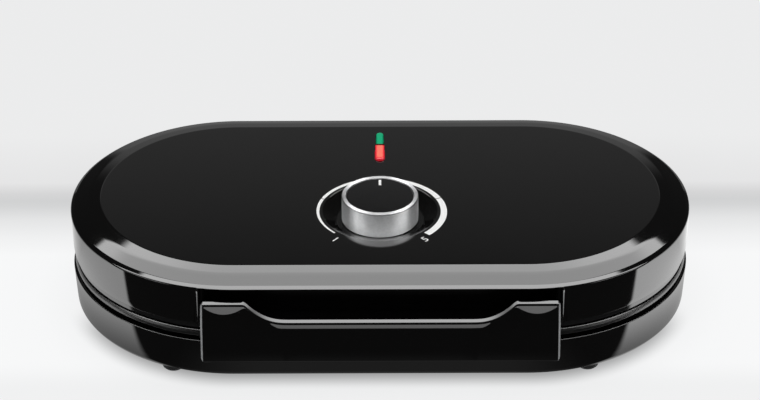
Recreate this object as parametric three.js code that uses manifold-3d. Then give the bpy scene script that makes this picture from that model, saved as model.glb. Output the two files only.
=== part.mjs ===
// Double waffle maker: a base and a hinged lid, each with a cast baking plate of two heart rosettes.
// Millimetres. X to the right, Y to the back, Z up. The origin lies on the floor under the middle.

import * as THREE from 'three';
import { mergeVertices } from 'three/addons/utils/BufferGeometryUtils.js';
import Module from 'manifold-3d';

const wasm = await Module();
wasm.setup();

// Driving dimensions: outline seen from above
const overallWidth = 400;
const bodyDepth = 214.4;
const endRadius = bodyDepth / 2;
const halfStraight = overallWidth / 2 - endRadius;
const endArcSteps = 16;

// Driving dimensions: heights, from the floor up
const footHeight = 5.2;
const baseHeight = 31;
const partingGap = 3;
const beadHeight = 3.9;
const lidWallHeight = 25.9;
const lidBandHeight = 7.7;

// Fits
const fitGap = 0.3;
const runningGap = 0.5;
const overrun = 6;
const wall = 2.6;
const mergeDistance = 0.00001;

// Levels worked out from the heights
const baseTop = footHeight + baseHeight;
const beadBottom = baseTop + partingGap;
const beadTop = beadBottom + beadHeight;
const lidBottom = beadTop + fitGap;
const lidEdge = lidBottom + lidWallHeight;
const lidTop = lidEdge + lidBandHeight;
const partingMiddle = baseTop + partingGap / 2;

// Lid casing: insets from the outline
const lidWallLean = 1.6;
const lidBandWidth = 20;
const lidBandCrown = 0.7;
const lidEdgeRound = 2.7;
const beadInset = 3.5;
const beadRound = 0.6;

// Base casing: insets from the outline
const baseWallInset = 1.6;
const baseShoulderInset = 4.2;
const baseLedgeInset = 9;
const baseUnderInset = 7.5;
const baseWidestHeight = 21.3;
const baseShoulderHeight = 24.8;
const baseLowerRound = 5.8;

// Openings for the baking plates, and the plates
const plateInset = 22.6;
const plateSeatWidth = 3.4;
const plateFlangeThickness = 3.4;
const plateGap = 0.4;
const shelfThickness = 1.6;
const panEdge = 5.6;
const panWall = 3;
const mouldEdge = 4;
const mouldDepth = 9.8;
const ridgeDrop = 4;
const panSteps = 24;

// Hearts of the rosettes
const heartCount = 5;
const heartTip = 5;
const lobeInset = 21;
const lobeSpreadShare = 0.28148;
const lobeOverlap = 2;
const lobeSteps = 5;
const studPitch = 15.4;
const studBase = 10;
const studTop = 7;
const studHeight = 6;

// Heating elements and heat shields
const heaterRadius = 3.3;
const heaterLoopRadius = 45;
const heaterEndGap = 12;
const shieldThickness = 1.2;
const shieldFloorDrop = 9.6;
const shieldInset = 4.4;
const shieldFlangeReach = 1.1;

// Bosses and screws
const bossRadius = 4;
const bossInset = 13.4;
const bossAngle = THREE.MathUtils.degToRad(35);
const screwRadius = 1.6;
const screwHeadRadius = 3.1;
const screwHeadHeight = 1.7;
const screwSteps = 8;
const longScrewReach = 15;
const shortScrewReach = 11;
const plateBossSpread = 30;

// Hinge
const hingeEndMargin = 17.8;
const knuckleRadius = 5.5;
const hingePinRadius = 2;
const earWidth = 6;
const lugWidth = 12;
const hingeInset = 4.2;
const hingeAxisLift = 2.5;

// Finger pocket and handle panel
const pocketSideGap = 1.5;
const pocketWall = 2.4;
const brimThickness = 0.9;
const handleEndReach = 20.8;
const handleProud = 1.3;
const handleThickness = 2.4;
const handleBottomHeight = 16.9;
const handleTopHeight = 61;
const scoopHeight = 47.1;
const scoopRun = 31;
const scoopEndMargin = 26.6;
const scoopPower = 2.35;
const handleTopDepth = 6;
const handleRoll = 3;
const handleLip = 2.6;
const handleCornerRadius = 2.4;
const handleLugMargin = 18.6;
const handleLugWidth = 13;
const handleLugDepth = 11;
const handleLugHeight = 10;

// Dial
const dialY = -21.4;
const dishSlopeWidth = 10.5;
const dishClearance = 1.9;
const dishDepth = 5.8;
const knobRadius = 24.6;
const knobProud = 12;
const knobRimWidth = 3;
const knobRecess = 2.4;
const knobWall = 2;
const insertThickness = 1.5;
const pointerLength = 6.5;
const pointerWidth = 1.6;
const pointerThickness = 0.4;
const shaftRadius = 3;
const hubRadius = 6;
const dialSteps = 24;

// Thermostat
const thermostatWidth = 20;
const thermostatSideGap = 3.8;
const thermostatLength = 26;
const thermostatHeight = 14;
const bracketThickness = 1.5;
const bracketWidth = 13;
const bracketLength = 52;
const bushRadius = 5;
const bushHeight = 4.5;

// Indicator lamps
const lampInset = 44.8;
const greenLensLength = 15.4;
const redLensLength = 20.4;
const greenLensWidth = 4.8;
const redLensWidth = 6;
const lensProud = 2.4;
const lensFlange = 1.6;
const lampHolderHeight = 11.5;
const lampRadius = 2.5;
const lampLength = 12;

// Base fittings
const coverThickness = 2.5;
const footRadius = 7;
const footStemRadius = 2.7;
const footInset = 13.6;
const footAngle = THREE.MathUtils.degToRad(65.2);
const ventLength = 34;
const ventWidth = 3;
const ventPitch = 8;
const ventCount = 5;
const glandEndMargin = 47.8;
const glandHeight = 17;
const glandRadius = 5;
const glandBore = 3.5;
const glandFlange = 6.6;
const glandFlangeThickness = 2.2;
const terminalWidth = 30;
const terminalDepth = 12;
const terminalHeight = 13;
const fuseRadius = 2;
const fuseLength = 14;
const roundSteps = 12;

// Sizes seen from above, worked out from the outline: the pans are as large as the plate takes both ways
const plateRadius = endRadius - plateInset;
const plateHalfLength = overallWidth / 2 - plateInset;
const panWeb = thermostatWidth + thermostatSideGap * 2;
const panRadius = Math.min(plateRadius - panEdge, (plateHalfLength - panEdge - panWeb / 2) / 2);
const panCentre = plateHalfLength - panEdge - panRadius;
const mouldRadius = panRadius - mouldEdge;
const lobeDistance = mouldRadius - lobeInset;
const lobeSpread = lobeDistance * lobeSpreadShare;
const lobeRadius = lobeSpread + lobeOverlap;
const shieldRadius = plateRadius - shieldInset;
const shieldFlangeRadius = plateRadius + shieldFlangeReach;
const bossCircle = endRadius - bossInset;
const footCircle = endRadius - footInset;
const pocketDepth = plateInset - shieldFlangeReach - fitGap - pocketWall;
const handleHalfWidth = halfStraight + handleEndReach;
const pocketHalfWidth = handleHalfWidth + pocketSideGap;
const scoopHalfTop = handleHalfWidth - scoopEndMargin;
const scoopHalfFlat = scoopHalfTop - scoopRun;
const handleLugX = handleHalfWidth - handleLugMargin;
const dishFloorRadius = knobRadius + dishClearance;
const dishRadius = dishFloorRadius + dishSlopeWidth;
const lampGapY = endRadius - lampInset;
const glandX = halfStraight - glandEndMargin;

// Finishes
function finish(color, roughness, metalness) {
  return new THREE.MeshStandardMaterial({ color, roughness, metalness });
}
const blackGloss = finish(0x17181a, 0.12, 0);
const blackRim = finish(0x1b1c1e, 0.3, 0);
const blackInsert = finish(0x101113, 0.08, 0);
const silverPaint = finish(0xa9acae, 0.32, 0.9);
const whiteInk = finish(0xf2f2f0, 0.5, 0);
const castCoating = finish(0x2a2a2c, 0.5, 0.1);
const sheetSteel = finish(0xb4b7ba, 0.35, 0.9);
const heaterSteel = finish(0x77736c, 0.5, 0.8);
const screwSteel = finish(0x9b9ea1, 0.35, 0.9);
const rubber = finish(0x1c1c1d, 0.85, 0);
const greenPlastic = finish(0x00a573, 0.2, 0);
const redPlastic = finish(0xf53246, 0.2, 0);
const paleNylon = finish(0xe2ded2, 0.6, 0);
const clearGlass = finish(0xd9c8b4, 0.1, 0);

// Solids: a closed three.js geometry turned into a solid, and back
function solidFrom(geometry) {
  const bare = geometry.index ? geometry.toNonIndexed() : geometry.clone();
  bare.deleteAttribute('normal');
  bare.deleteAttribute('uv');
  const merged = mergeVertices(bare, mergeDistance);
  const places = merged.getAttribute('position');
  const corners = merged.getIndex().array;
  const kept = [];
  let volume = 0;
  const a = new THREE.Vector3();
  const b = new THREE.Vector3();
  const c = new THREE.Vector3();
  for (let k = 0; k < corners.length; k += 3) {
    const [i, j, l] = [corners[k], corners[k + 1], corners[k + 2]];
    if (i === j || j === l || l === i) continue;
    kept.push(i, j, l);
    a.fromBufferAttribute(places, i);
    b.fromBufferAttribute(places, j);
    c.fromBufferAttribute(places, l);
    volume += a.dot(b.cross(c));
  }
  if (volume < 0) kept.reverse();
  return new wasm.Manifold(new wasm.Mesh({
    numProp: 3,
    vertProperties: new Float32Array(places.array),
    triVerts: new Uint32Array(kept),
  }));
}

function geometryFrom(solid) {
  const mesh = solid.getMesh();
  const geometry = new THREE.BufferGeometry();
  geometry.setAttribute('position', new THREE.BufferAttribute(new Float32Array(mesh.vertProperties), 3));
  geometry.setIndex(new THREE.BufferAttribute(new Uint32Array(mesh.triVerts), 1));
  geometry.computeVertexNormals();
  return geometry;
}

const joined = (solids) => solids.reduce((sum, solid) => sum.add(solid));
const cutBy = (solid, tools) => tools.reduce((rest, tool) => rest.subtract(tool), solid);

function mesh(name, solid, material) {
  const part = new THREE.Mesh(geometryFrom(solid), material);
  part.name = name;
  return part;
}

// Outlines: points of a long shape with round ends, from the right end round to the left
function outlinePoints(radius) {
  const points = [];
  for (const side of [1, -1]) {
    for (let k = 0; k <= endArcSteps; k += 1) {
      const angle = side * Math.PI * (k / endArcSteps - 1 / 2);
      points.push(new THREE.Vector2(
        side * (halfStraight + radius * Math.cos(angle)),
        radius * Math.sin(angle),
      ));
    }
  }
  return points;
}

// A solid through sections of the same long outline, each given as [radius, height]
function outlineStack(sections) {
  const rings = sections.map(([radius]) => outlinePoints(radius));
  const count = rings[0].length;
  const vertices = [];
  rings.forEach((ring, level) => {
    ring.forEach((point) => vertices.push(point.x, point.y, sections[level][1]));
  });
  const faces = [];
  for (let level = 0; level + 1 < rings.length; level += 1) {
    for (let k = 0; k < count; k += 1) {
      const here = level * count + k;
      const next = level * count + ((k + 1) % count);
      faces.push(here, next, next + count, here, next + count, here + count);
    }
  }
  const last = (rings.length - 1) * count;
  for (const [i, j, l] of THREE.ShapeUtils.triangulateShape(rings[0], [])) {
    faces.push(i, l, j, last + i, last + j, last + l);
  }
  const geometry = new THREE.BufferGeometry();
  geometry.setAttribute('position', new THREE.Float32BufferAttribute(vertices, 3));
  geometry.setIndex(faces);
  return solidFrom(geometry);
}

// A solid of revolution about an upright axis, from [radius, height] points
function turned(profile, steps, x = 0, y = 0) {
  const points = profile.map(([radius, height]) => new THREE.Vector2(radius, height));
  const geometry = new THREE.LatheGeometry(points, steps);
  geometry.rotateX(Math.PI / 2);
  geometry.translate(x, y, 0);
  return solidFrom(geometry);
}

function column(radius, low, high, x, y, steps = roundSteps) {
  return turned([[0, low], [radius, low], [radius, high], [0, high]], steps, x, y);
}

function block(x0, x1, y0, y1, z0, z1) {
  const geometry = new THREE.BoxGeometry(x1 - x0, y1 - y0, z1 - z0);
  geometry.translate((x0 + x1) / 2, (y0 + y1) / 2, (z0 + z1) / 2);
  return solidFrom(geometry);
}

// A prism along Z from [x, y] points, or along X from [y, z] points
function prismZ(points, low, high) {
  const shape = new THREE.Shape(points.map(([x, y]) => new THREE.Vector2(x, y)));
  const geometry = new THREE.ExtrudeGeometry(shape, { depth: high - low, bevelEnabled: false });
  geometry.translate(0, 0, low);
  return solidFrom(geometry);
}

function prismX(points, left, right) {
  const shape = new THREE.Shape(points.map(([y, z]) => new THREE.Vector2(y, z)));
  const geometry = new THREE.ExtrudeGeometry(shape, { depth: right - left, bevelEnabled: false });
  geometry.rotateX(Math.PI / 2);
  geometry.rotateZ(Math.PI / 2);
  geometry.translate(left, 0, 0);
  return solidFrom(geometry);
}

function arcPoints(centreA, centreB, radius, from, to, steps) {
  return Array.from({ length: steps + 1 }, (_, k) => {
    const angle = from + (to - from) * (k / steps);
    return [centreA + radius * Math.cos(angle), centreB + radius * Math.sin(angle)];
  });
}

// Where the screws of the casings go: [x, y] on the round ends and in the middle of the sides
const endBosses = [[1, 1], [1, -1], [-1, 1], [-1, -1]].map(([sideX, sideY]) => [
  sideX * (halfStraight + bossCircle * Math.cos(bossAngle)),
  sideY * bossCircle * Math.sin(bossAngle),
]);
const rearBoss = [0, bossCircle];
const frontBoss = [0, -bossCircle];
const plateBosses = [[1, 1], [1, -1], [-1, 1], [-1, -1]].map(([sideX, inOut]) => [
  sideX * (panCentre + inOut * plateBossSpread),
  0,
]);
const handleLugY = -(endRadius - beadInset) + handleLugDepth / 2;
const handleLugs = [[-handleLugX, handleLugY], [handleLugX, handleLugY]];

const screwHole = (low, high, [x, y]) => column(screwRadius + fitGap, low, high, x, y, screwSteps);

// A pan-head screw whose head starts at height zero and whose shank points up
function screwSolid(reach) {
  return turned([
    [0, 0], [screwHeadRadius, 0], [screwHeadRadius, screwHeadHeight],
    [screwRadius, screwHeadHeight], [screwRadius, reach - screwRadius], [0, reach],
  ], screwSteps);
}

function screws(name, places, low, reach, material) {
  return places.map(([x, y], k) => {
    const screw = mesh(places.length > 1 ? `${name}_${k + 1}` : name, screwSolid(reach), material);
    screw.position.set(x, y, low);
    return screw;
  });
}

// Hinge: the axis lies inside the rear outline, at the height of the parting gap
const hingeY = endRadius - hingeInset;
const hingeZ = partingMiddle + hingeAxisLift;
const hingePlaces = [-1, 1].map((side) => side * (halfStraight - hingeEndMargin));
const hingeHalfWidth = lugWidth / 2 + runningGap + earWidth;

function hingeEars(x) {
  const foot = hingeZ - knuckleRadius * 2.6;
  const outline = [
    [hingeY - knuckleRadius, foot],
    [endRadius - baseShoulderInset, foot],
    ...arcPoints(hingeY, hingeZ, knuckleRadius, -Math.PI / 10, Math.PI, 9),
  ];
  const inner = lugWidth / 2 + runningGap;
  return [
    prismX(outline, x - inner - earWidth, x - inner),
    prismX(outline, x + inner, x + inner + earWidth),
  ];
}

function hingeLug(x) {
  const head = hingeZ + knuckleRadius * 2.2;
  const outline = [
    [endRadius - lidWallLean - wall / 2, head],
    [hingeY - knuckleRadius, head],
    ...arcPoints(hingeY, hingeZ, knuckleRadius, Math.PI, Math.PI * 2.1, 9),
  ];
  return prismX(outline, x - lugWidth / 2, x + lugWidth / 2);
}

function hingeBore(x) {
  const half = hingeHalfWidth + overrun;
  const outline = arcPoints(hingeY, hingeZ, hingePinRadius + fitGap, 0, Math.PI * 2, roundSteps);
  return prismX(outline.slice(0, roundSteps), x - half, x + half);
}

function hingeNotch(x, top) {
  const half = hingeHalfWidth + runningGap;
  const front = hingeY - knuckleRadius - runningGap;
  return block(x - half, x + half, front, endRadius + overrun, beadBottom - overrun, top);
}

function hingePin(name, x) {
  const outline = arcPoints(0, 0, hingePinRadius, 0, Math.PI * 2, roundSteps).slice(0, roundSteps);
  const pin = mesh(name, prismX(outline, -hingeHalfWidth, hingeHalfWidth), screwSteel);
  pin.position.set(x, hingeY, hingeZ);
  return pin;
}

// Base casing
const shelfTop = partingMiddle - plateGap / 2 - plateFlangeThickness - fitGap;
const shelfBottom = shelfTop - wall;
const openingRadius = plateRadius + fitGap;
const shelfRadius = openingRadius - plateSeatWidth;
const coverRadius = endRadius - baseUnderInset - fitGap * 2;
const coverTop = footHeight + coverThickness;

function baseShell() {
  const widest = footHeight + baseWidestHeight;
  const shoulder = footHeight + baseShoulderHeight;
  const lower = footHeight + baseLowerRound;
  const outside = outlineStack([
    [endRadius - baseUnderInset, footHeight],
    [endRadius - (baseUnderInset + baseWallInset) / 2, footHeight + baseLowerRound * 0.12],
    [endRadius - baseWallInset * 2, footHeight + baseLowerRound * 0.4],
    [endRadius - baseWallInset * 1.65, lower],
    [endRadius - baseWallInset, widest],
    [endRadius - (baseWallInset + baseShoulderInset) / 2, (widest + shoulder) / 2 + beadRound],
    [endRadius - baseShoulderInset, shoulder],
    [endRadius - baseLedgeInset, baseTop],
  ]);
  const inside = outlineStack([
    [coverRadius + fitGap, footHeight - overrun],
    [coverRadius + fitGap, coverTop + fitGap],
    [endRadius - baseWallInset * 1.65 - wall, lower + fitGap],
    [endRadius - baseWallInset - wall, widest],
    [endRadius - baseShoulderInset - wall, shoulder],
    [endRadius - baseLedgeInset - wall * 0.7, baseTop - wall],
  ]);
  const shelf = outlineStack([
    [openingRadius + wall, shelfBottom],
    [openingRadius + wall, baseTop - wall / 2],
  ]);
  const opening = outlineStack([
    [shelfRadius, shelfBottom - overrun],
    [shelfRadius, shelfTop],
    [openingRadius, shelfTop],
    [openingRadius, baseTop + overrun],
  ]);
  const bossPlaces = [...endBosses, rearBoss, frontBoss];
  const bosses = bossPlaces.map(([x, y]) => column(
    bossRadius, coverTop + fitGap, baseTop - wall / 2, x, y, screwSteps,
  ));
  const threads = bossPlaces.map((place) => screwHole(
    footHeight, footHeight + longScrewReach + fitGap, place,
  ));
  const gland = prismZ(
    arcPoints(0, 0, glandRadius + fitGap, 0, Math.PI * 2, roundSteps).slice(0, roundSteps),
    0, bodyDepth,
  ).rotate([-90, 0, 0]).translate([glandX, bossCircle, glandHeight]);
  const solid = joined([outside.subtract(inside), shelf, ...bosses]);
  const ears = hingePlaces.flatMap((x) => hingeEars(x));
  return cutBy(joined([cutBy(solid, [opening, gland]), ...ears]), [
    ...threads, ...hingePlaces.map((x) => hingeBore(x)),
  ]);
}

// Bottom cover, with vents and holes for the feet and the screws
const footPlaces = {
  foot_front_left: [-1, -1],
  foot_front_right: [1, -1],
  foot_rear_left: [-1, 1],
  foot_rear_right: [1, 1],
};
const footPlace = ([sideX, sideY]) => [
  sideX * (halfStraight + footCircle * Math.cos(footAngle)),
  sideY * footCircle * Math.sin(footAngle),
];

function bottomCover() {
  const plate = outlineStack([
    [coverRadius, footHeight + fitGap],
    [coverRadius, coverTop],
  ]);
  const vents = [];
  for (const side of [-1, 1]) {
    for (let k = 0; k < ventCount; k += 1) {
      const x = side * panCentre + (k - (ventCount - 1) / 2) * ventPitch;
      vents.push(block(
        x - ventWidth / 2, x + ventWidth / 2, -ventLength / 2, ventLength / 2,
        footHeight - overrun, coverTop + overrun,
      ));
    }
  }
  const holes = [...endBosses, rearBoss, frontBoss].map((place) => screwHole(
    footHeight - overrun, coverTop + overrun, place,
  ));
  const stems = Object.values(footPlaces).map((sides) => {
    const [x, y] = footPlace(sides);
    return column(footStemRadius + fitGap, footHeight - overrun, coverTop + overrun, x, y);
  });
  return cutBy(plate, [...vents, ...holes, ...stems]);
}

function footSolid() {
  const top = footHeight - fitGap / 2;
  return turned([
    [0, 0], [footRadius * 0.86, 0], [footRadius, footHeight * 0.2], [footRadius, footHeight * 0.9],
    [footRadius * 0.94, top], [footStemRadius, top], [footStemRadius, coverTop + fitGap],
    [footStemRadius * 0.6, coverTop + coverThickness], [0, coverTop + coverThickness],
  ], roundSteps);
}

// Heart rosettes, in a plane whose depth runs away from the parting gap
function heartOutline() {
  const reach = Math.hypot(lobeDistance - heartTip, lobeSpread);
  const lean = Math.atan2(lobeSpread, lobeDistance - heartTip);
  const tangent = lean + Math.asin(lobeRadius / reach);
  const notch = Math.acos(lobeSpread / lobeRadius);
  const lobe = arcPoints(
    lobeDistance, lobeSpread, lobeRadius, tangent + Math.PI / 2, notch - Math.PI / 2, lobeSteps,
  );
  const mirrored = lobe.slice(0, lobeSteps).map(([u, w]) => [u, -w]);
  return [[heartTip, 0], ...mirrored, ...lobe.reverse()];
}

function insideHeart(u, w, margin) {
  const side = Math.abs(w);
  const inLobe = Math.hypot(u - lobeDistance, side - lobeSpread) < lobeRadius - margin;
  const reach = Math.hypot(lobeDistance - heartTip, lobeSpread);
  const lean = Math.atan2(lobeSpread, lobeDistance - heartTip);
  const tangent = lean + Math.asin(lobeRadius / reach);
  const toEdge = (u - heartTip) * Math.sin(tangent) - side * Math.cos(tangent);
  const inPoint = u < lobeDistance + margin / 2 && toEdge > margin;
  return inLobe || inPoint;
}

function studPlaces() {
  const places = [];
  const margin = studBase * 0.56;
  for (let u = heartTip + studPitch; u < lobeDistance + lobeRadius; u += studPitch) {
    for (const w of [-2, -1, 0, 1, 2].map((k) => k * studPitch)) {
      if (insideHeart(u, w, margin)) places.push([u, w]);
    }
  }
  return places;
}

function stud(u, w, floor, rise) {
  const height = studHeight + wall / 2;
  const geometry = new THREE.BoxGeometry(studBase, studBase, height);
  const places = geometry.getAttribute('position');
  for (let k = 0; k < places.count; k += 1) {
    if (places.getZ(k) * rise < 0) continue;
    places.setX(k, Math.sign(places.getX(k)) * studTop / 2);
    places.setY(k, Math.sign(places.getY(k)) * studTop / 2);
  }
  geometry.translate(u, w, floor + rise * (height / 2 - wall / 2));
  return solidFrom(geometry);
}

// A baking plate: face is the height of its rim, depth is -1 below the parting gap and 1 above it
function bakingPlate(face, depth) {
  const back = face + depth * plateFlangeThickness;
  const ridge = face + depth * ridgeDrop;
  const floor = face + depth * mouldDepth;
  const under = floor + depth * panWall;
  const bossEnd = under + depth * shieldFloorDrop - depth * fitGap;
  const outerFace = face - depth * overrun;
  const flange = outlineStack([[plateRadius, face], [plateRadius, back]]);
  const pans = [-1, 1].map((side) => column(
    panRadius, (face + back) / 2, under, side * panCentre, 0, panSteps,
  ));
  const bosses = plateBosses.map(([x, y]) => column(
    bossRadius, (floor + under) / 2, bossEnd, x, y, screwSteps,
  ));
  const basins = [-1, 1].map((side) => column(
    mouldRadius, outerFace, ridge, side * panCentre, 0, panSteps,
  ));
  const heart = prismZ(heartOutline(), Math.min(outerFace, floor), Math.max(outerFace, floor));
  const hearts = [];
  const studs = [];
  const turnBy = 360 / heartCount;
  const places = studPlaces();
  for (const side of [-1, 1]) {
    for (let k = 0; k < heartCount; k += 1) {
      const turn = [0, 0, 90 + k * turnBy];
      const shift = [side * panCentre, 0, 0];
      hearts.push(heart.rotate(turn).translate(shift));
      places.forEach(([u, w]) => {
        studs.push(stud(u, w, floor, -depth).rotate(turn).translate(shift));
      });
    }
  }
  const threads = plateBosses.map((place) => screwHole(
    under - depth * panWall / 3, bossEnd + depth * overrun, place,
  ));
  const body = cutBy(joined([flange, ...pans]), [...basins, ...hearts]);
  return cutBy(joined([body, ...bosses, ...studs]), threads);
}

// A tubular heating element: an open loop under both pans
class HeaterPath extends THREE.Curve {
  constructor(height) {
    super();
    this.height = height;
    this.straight = panCentre;
    this.end = Math.PI * heaterLoopRadius;
    this.start = panCentre - heaterEndGap / 2;
    this.total = 2 * this.start + 2 * this.end + 2 * this.straight;
  }

  getPoint(share, target = new THREE.Vector3()) {
    let run = share * this.total;
    const r = heaterLoopRadius;
    if (run <= this.start) return target.set(-heaterEndGap / 2 - run, r, this.height);
    run -= this.start;
    if (run <= this.end) {
      const angle = Math.PI / 2 + run / r;
      return target.set(-panCentre + r * Math.cos(angle), r * Math.sin(angle), this.height);
    }
    run -= this.end;
    if (run <= 2 * this.straight) return target.set(-panCentre + run, -r, this.height);
    run -= 2 * this.straight;
    if (run <= this.end) {
      const angle = -Math.PI / 2 + run / r;
      return target.set(panCentre + r * Math.cos(angle), r * Math.sin(angle), this.height);
    }
    run -= this.end;
    return target.set(panCentre - run, r, this.height);
  }
}

function heater(height) {
  const section = new THREE.Shape();
  section.absarc(0, 0, heaterRadius, 0, Math.PI * 2);
  return solidFrom(new THREE.ExtrudeGeometry(section, {
    steps: endArcSteps * 2 + 4,
    curveSegments: 3,
    extrudePath: new HeaterPath(height),
    bevelEnabled: false,
  }));
}

// A heat shield: a sheet pan whose flange lies behind the shelf of its casing
function heatShield(flangeFace, floorFace, depth) {
  const flangeBack = flangeFace + depth * shieldThickness;
  const floorBack = floorFace + depth * shieldThickness;
  const flange = outlineStack([[shieldFlangeRadius, flangeFace], [shieldFlangeRadius, flangeBack]]);
  const panOutside = shieldRadius + shieldThickness;
  const pan = outlineStack([[panOutside, flangeFace], [panOutside, floorBack]]);
  const hollow = outlineStack([[shieldRadius, flangeFace - depth * overrun], [shieldRadius, floorFace]]);
  const holes = plateBosses.map((place) => screwHole(
    floorFace - depth * fitGap, floorBack + depth * fitGap, place,
  ));
  return cutBy(flange.add(pan), [hollow, ...holes]);
}

const lowerFace = partingMiddle - plateGap / 2;
const upperFace = partingMiddle + plateGap / 2;
const lowerUnder = lowerFace - mouldDepth - panWall;
const upperUnder = upperFace + mouldDepth + panWall;
const lowerShieldFloor = lowerUnder - shieldFloorDrop;
const upperShieldFloor = upperUnder + shieldFloorDrop;

function terminalBlock() {
  const body = block(
    -terminalWidth / 2, terminalWidth / 2, -terminalDepth / 2, terminalDepth / 2, 0, terminalHeight,
  );
  const slots = [-1, 0, 1].map((k) => block(
    k * terminalWidth / 3 - terminalWidth / 9, k * terminalWidth / 3 + terminalWidth / 9,
    -terminalDepth / 4, terminalDepth / 4, terminalHeight / 2, terminalHeight + overrun,
  ));
  return cutBy(body, slots);
}

function cordGland() {
  const inner = glandBore;
  const length = endRadius - baseWallInset - bossCircle;
  return turned([
    [inner, 0], [glandRadius, 0], [glandRadius, length], [glandFlange, length],
    [glandFlange, length + glandFlangeThickness * 0.7],
    [glandFlange * 0.85, length + glandFlangeThickness],
    [inner, length + glandFlangeThickness], [inner, 0],
  ], roundSteps);
}

function baseGroup() {
  const group = new THREE.Group();
  group.add(mesh('base_shell', baseShell(), blackGloss));
  group.add(mesh('bottom_cover', bottomCover(), blackRim));
  Object.entries(footPlaces).forEach(([name, sides]) => {
    const foot = mesh(name, footSolid(), rubber);
    foot.position.set(...footPlace(sides), 0);
    group.add(foot);
  });
  group.add(mesh('lower_baking_plate', bakingPlate(lowerFace, -1), castCoating));
  group.add(mesh('lower_heating_element', heater(lowerUnder - fitGap - heaterRadius), heaterSteel));
  group.add(mesh('lower_heat_shield', heatShield(shelfBottom - fitGap, lowerShieldFloor, -1), sheetSteel));
  const terminal = mesh('terminal_block', terminalBlock(), paleNylon);
  terminal.position.set(glandX + terminalWidth * 1.2, bossCircle - terminalDepth / 12, coverTop + fitGap);
  group.add(terminal);
  const fuse = mesh('thermal_fuse', column(fuseRadius, 0, fuseLength, 0, 0), sheetSteel);
  fuse.rotation.x = -Math.PI / 2;
  fuse.position.set(0, 0, lowerFace - plateFlangeThickness - fitGap - fuseRadius);
  group.add(fuse);
  const gland = mesh('cord_gland', cordGland(), rubber);
  gland.rotation.x = -Math.PI / 2;
  gland.position.set(glandX, bossCircle + fitGap, glandHeight);
  group.add(gland);
  group.add(hingePin('hinge_pin_left', hingePlaces[0]));
  group.add(hingePin('hinge_pin_right', hingePlaces[1]));
  const coverScrewLow = footHeight + fitGap - screwHeadHeight - fitGap / 2;
  screws(
    'cover_screw', [...endBosses, rearBoss, frontBoss], coverScrewLow, longScrewReach, screwSteel,
  ).forEach((screw) => group.add(screw));
  const plateScrewLow = lowerShieldFloor - shieldThickness - fitGap - screwHeadHeight;
  screws('lower_plate_screw', plateBosses, plateScrewLow, shortScrewReach, screwSteel)
    .forEach((screw) => group.add(screw));
  return group;
}

// Lid casing
const upperShelfBottom = upperFace + plateFlangeThickness + fitGap;
const lidInnerTop = lidTop - wall - fitGap;
const pocketBack = -(endRadius - pocketDepth);

function lidShell() {
  const outside = outlineStack([
    [endRadius - lidWallLean, lidBottom],
    [endRadius - lidWallLean / 2, lidBottom + lidWallHeight * 0.7],
    [endRadius - lidWallLean / 5, lidEdge - lidWallHeight * 0.07],
    [endRadius, lidEdge],
    [endRadius - lidEdgeRound / 4, lidEdge + lidEdgeRound * 0.6],
    [endRadius - lidEdgeRound, lidEdge + lidEdgeRound],
    [endRadius - (lidEdgeRound + lidBandWidth) / 2, (lidEdge + lidEdgeRound + lidTop) / 2 + lidBandCrown],
    [endRadius - lidBandWidth, lidTop],
  ]);
  const inside = outlineStack([
    [endRadius - lidWallLean - wall, lidBottom - overrun],
    [endRadius - lidWallLean / 2 - wall, lidEdge - wall],
    [endRadius - lidEdgeRound - wall, lidEdge],
    [endRadius - lidBandWidth, lidInnerTop],
  ]);
  const bossPlaces = [...endBosses, rearBoss];
  const bosses = bossPlaces.map(([x, y]) => column(
    bossRadius, lidBottom, lidInnerTop - fitGap * 2, x, y, screwSteps,
  ));
  const threads = bossPlaces.map((place) => screwHole(
    beadBottom, beadBottom + longScrewReach + fitGap * 2, place,
  ));
  const dishUnder = turned([
    [0, lidTop - dishDepth - wall], [dishFloorRadius + wall / 2, lidTop - dishDepth - wall],
    [dishRadius + wall / 2, lidTop - wall / 2], [0, lidTop - wall / 2],
  ], dialSteps, 0, dialY);
  const dish = turned([
    [0, lidTop - dishDepth], [dishFloorRadius, lidTop - dishDepth], [dishRadius, lidTop],
    [dishRadius, lidTop + overrun], [0, lidTop + overrun],
  ], dialSteps, 0, dialY);
  const shaftHole = column(shaftRadius + wall / 2, lidBottom, lidTop + overrun, 0, dialY);
  const pocketBox = block(
    -pocketHalfWidth - pocketWall, pocketHalfWidth + pocketWall,
    -endRadius, pocketBack + pocketWall, lidBottom, lidTop,
  ).intersect(outside);
  const roofRise = lidBandHeight * 0.4;
  const pocket = prismX([
    [-endRadius - overrun, lidBottom - overrun],
    [pocketBack, lidBottom - overrun],
    [pocketBack, lidEdge + brimThickness + roofRise],
    [-endRadius, lidEdge + brimThickness],
    [-endRadius - overrun, lidEdge + brimThickness],
  ], -pocketHalfWidth, pocketHalfWidth);
  const shell = joined([outside.subtract(inside), ...bosses, dishUnder, pocketBox]);
  const notches = hingePlaces.map((x) => hingeNotch(x, hingeZ + knuckleRadius + runningGap * 3));
  const open = cutBy(shell, [dish, shaftHole, pocket, ...lensSlots(), ...notches, ...threads]);
  return cutBy(
    joined([open, ...hingePlaces.map((x) => hingeLug(x))]),
    hingePlaces.map((x) => hingeBore(x)),
  );
}

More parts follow.
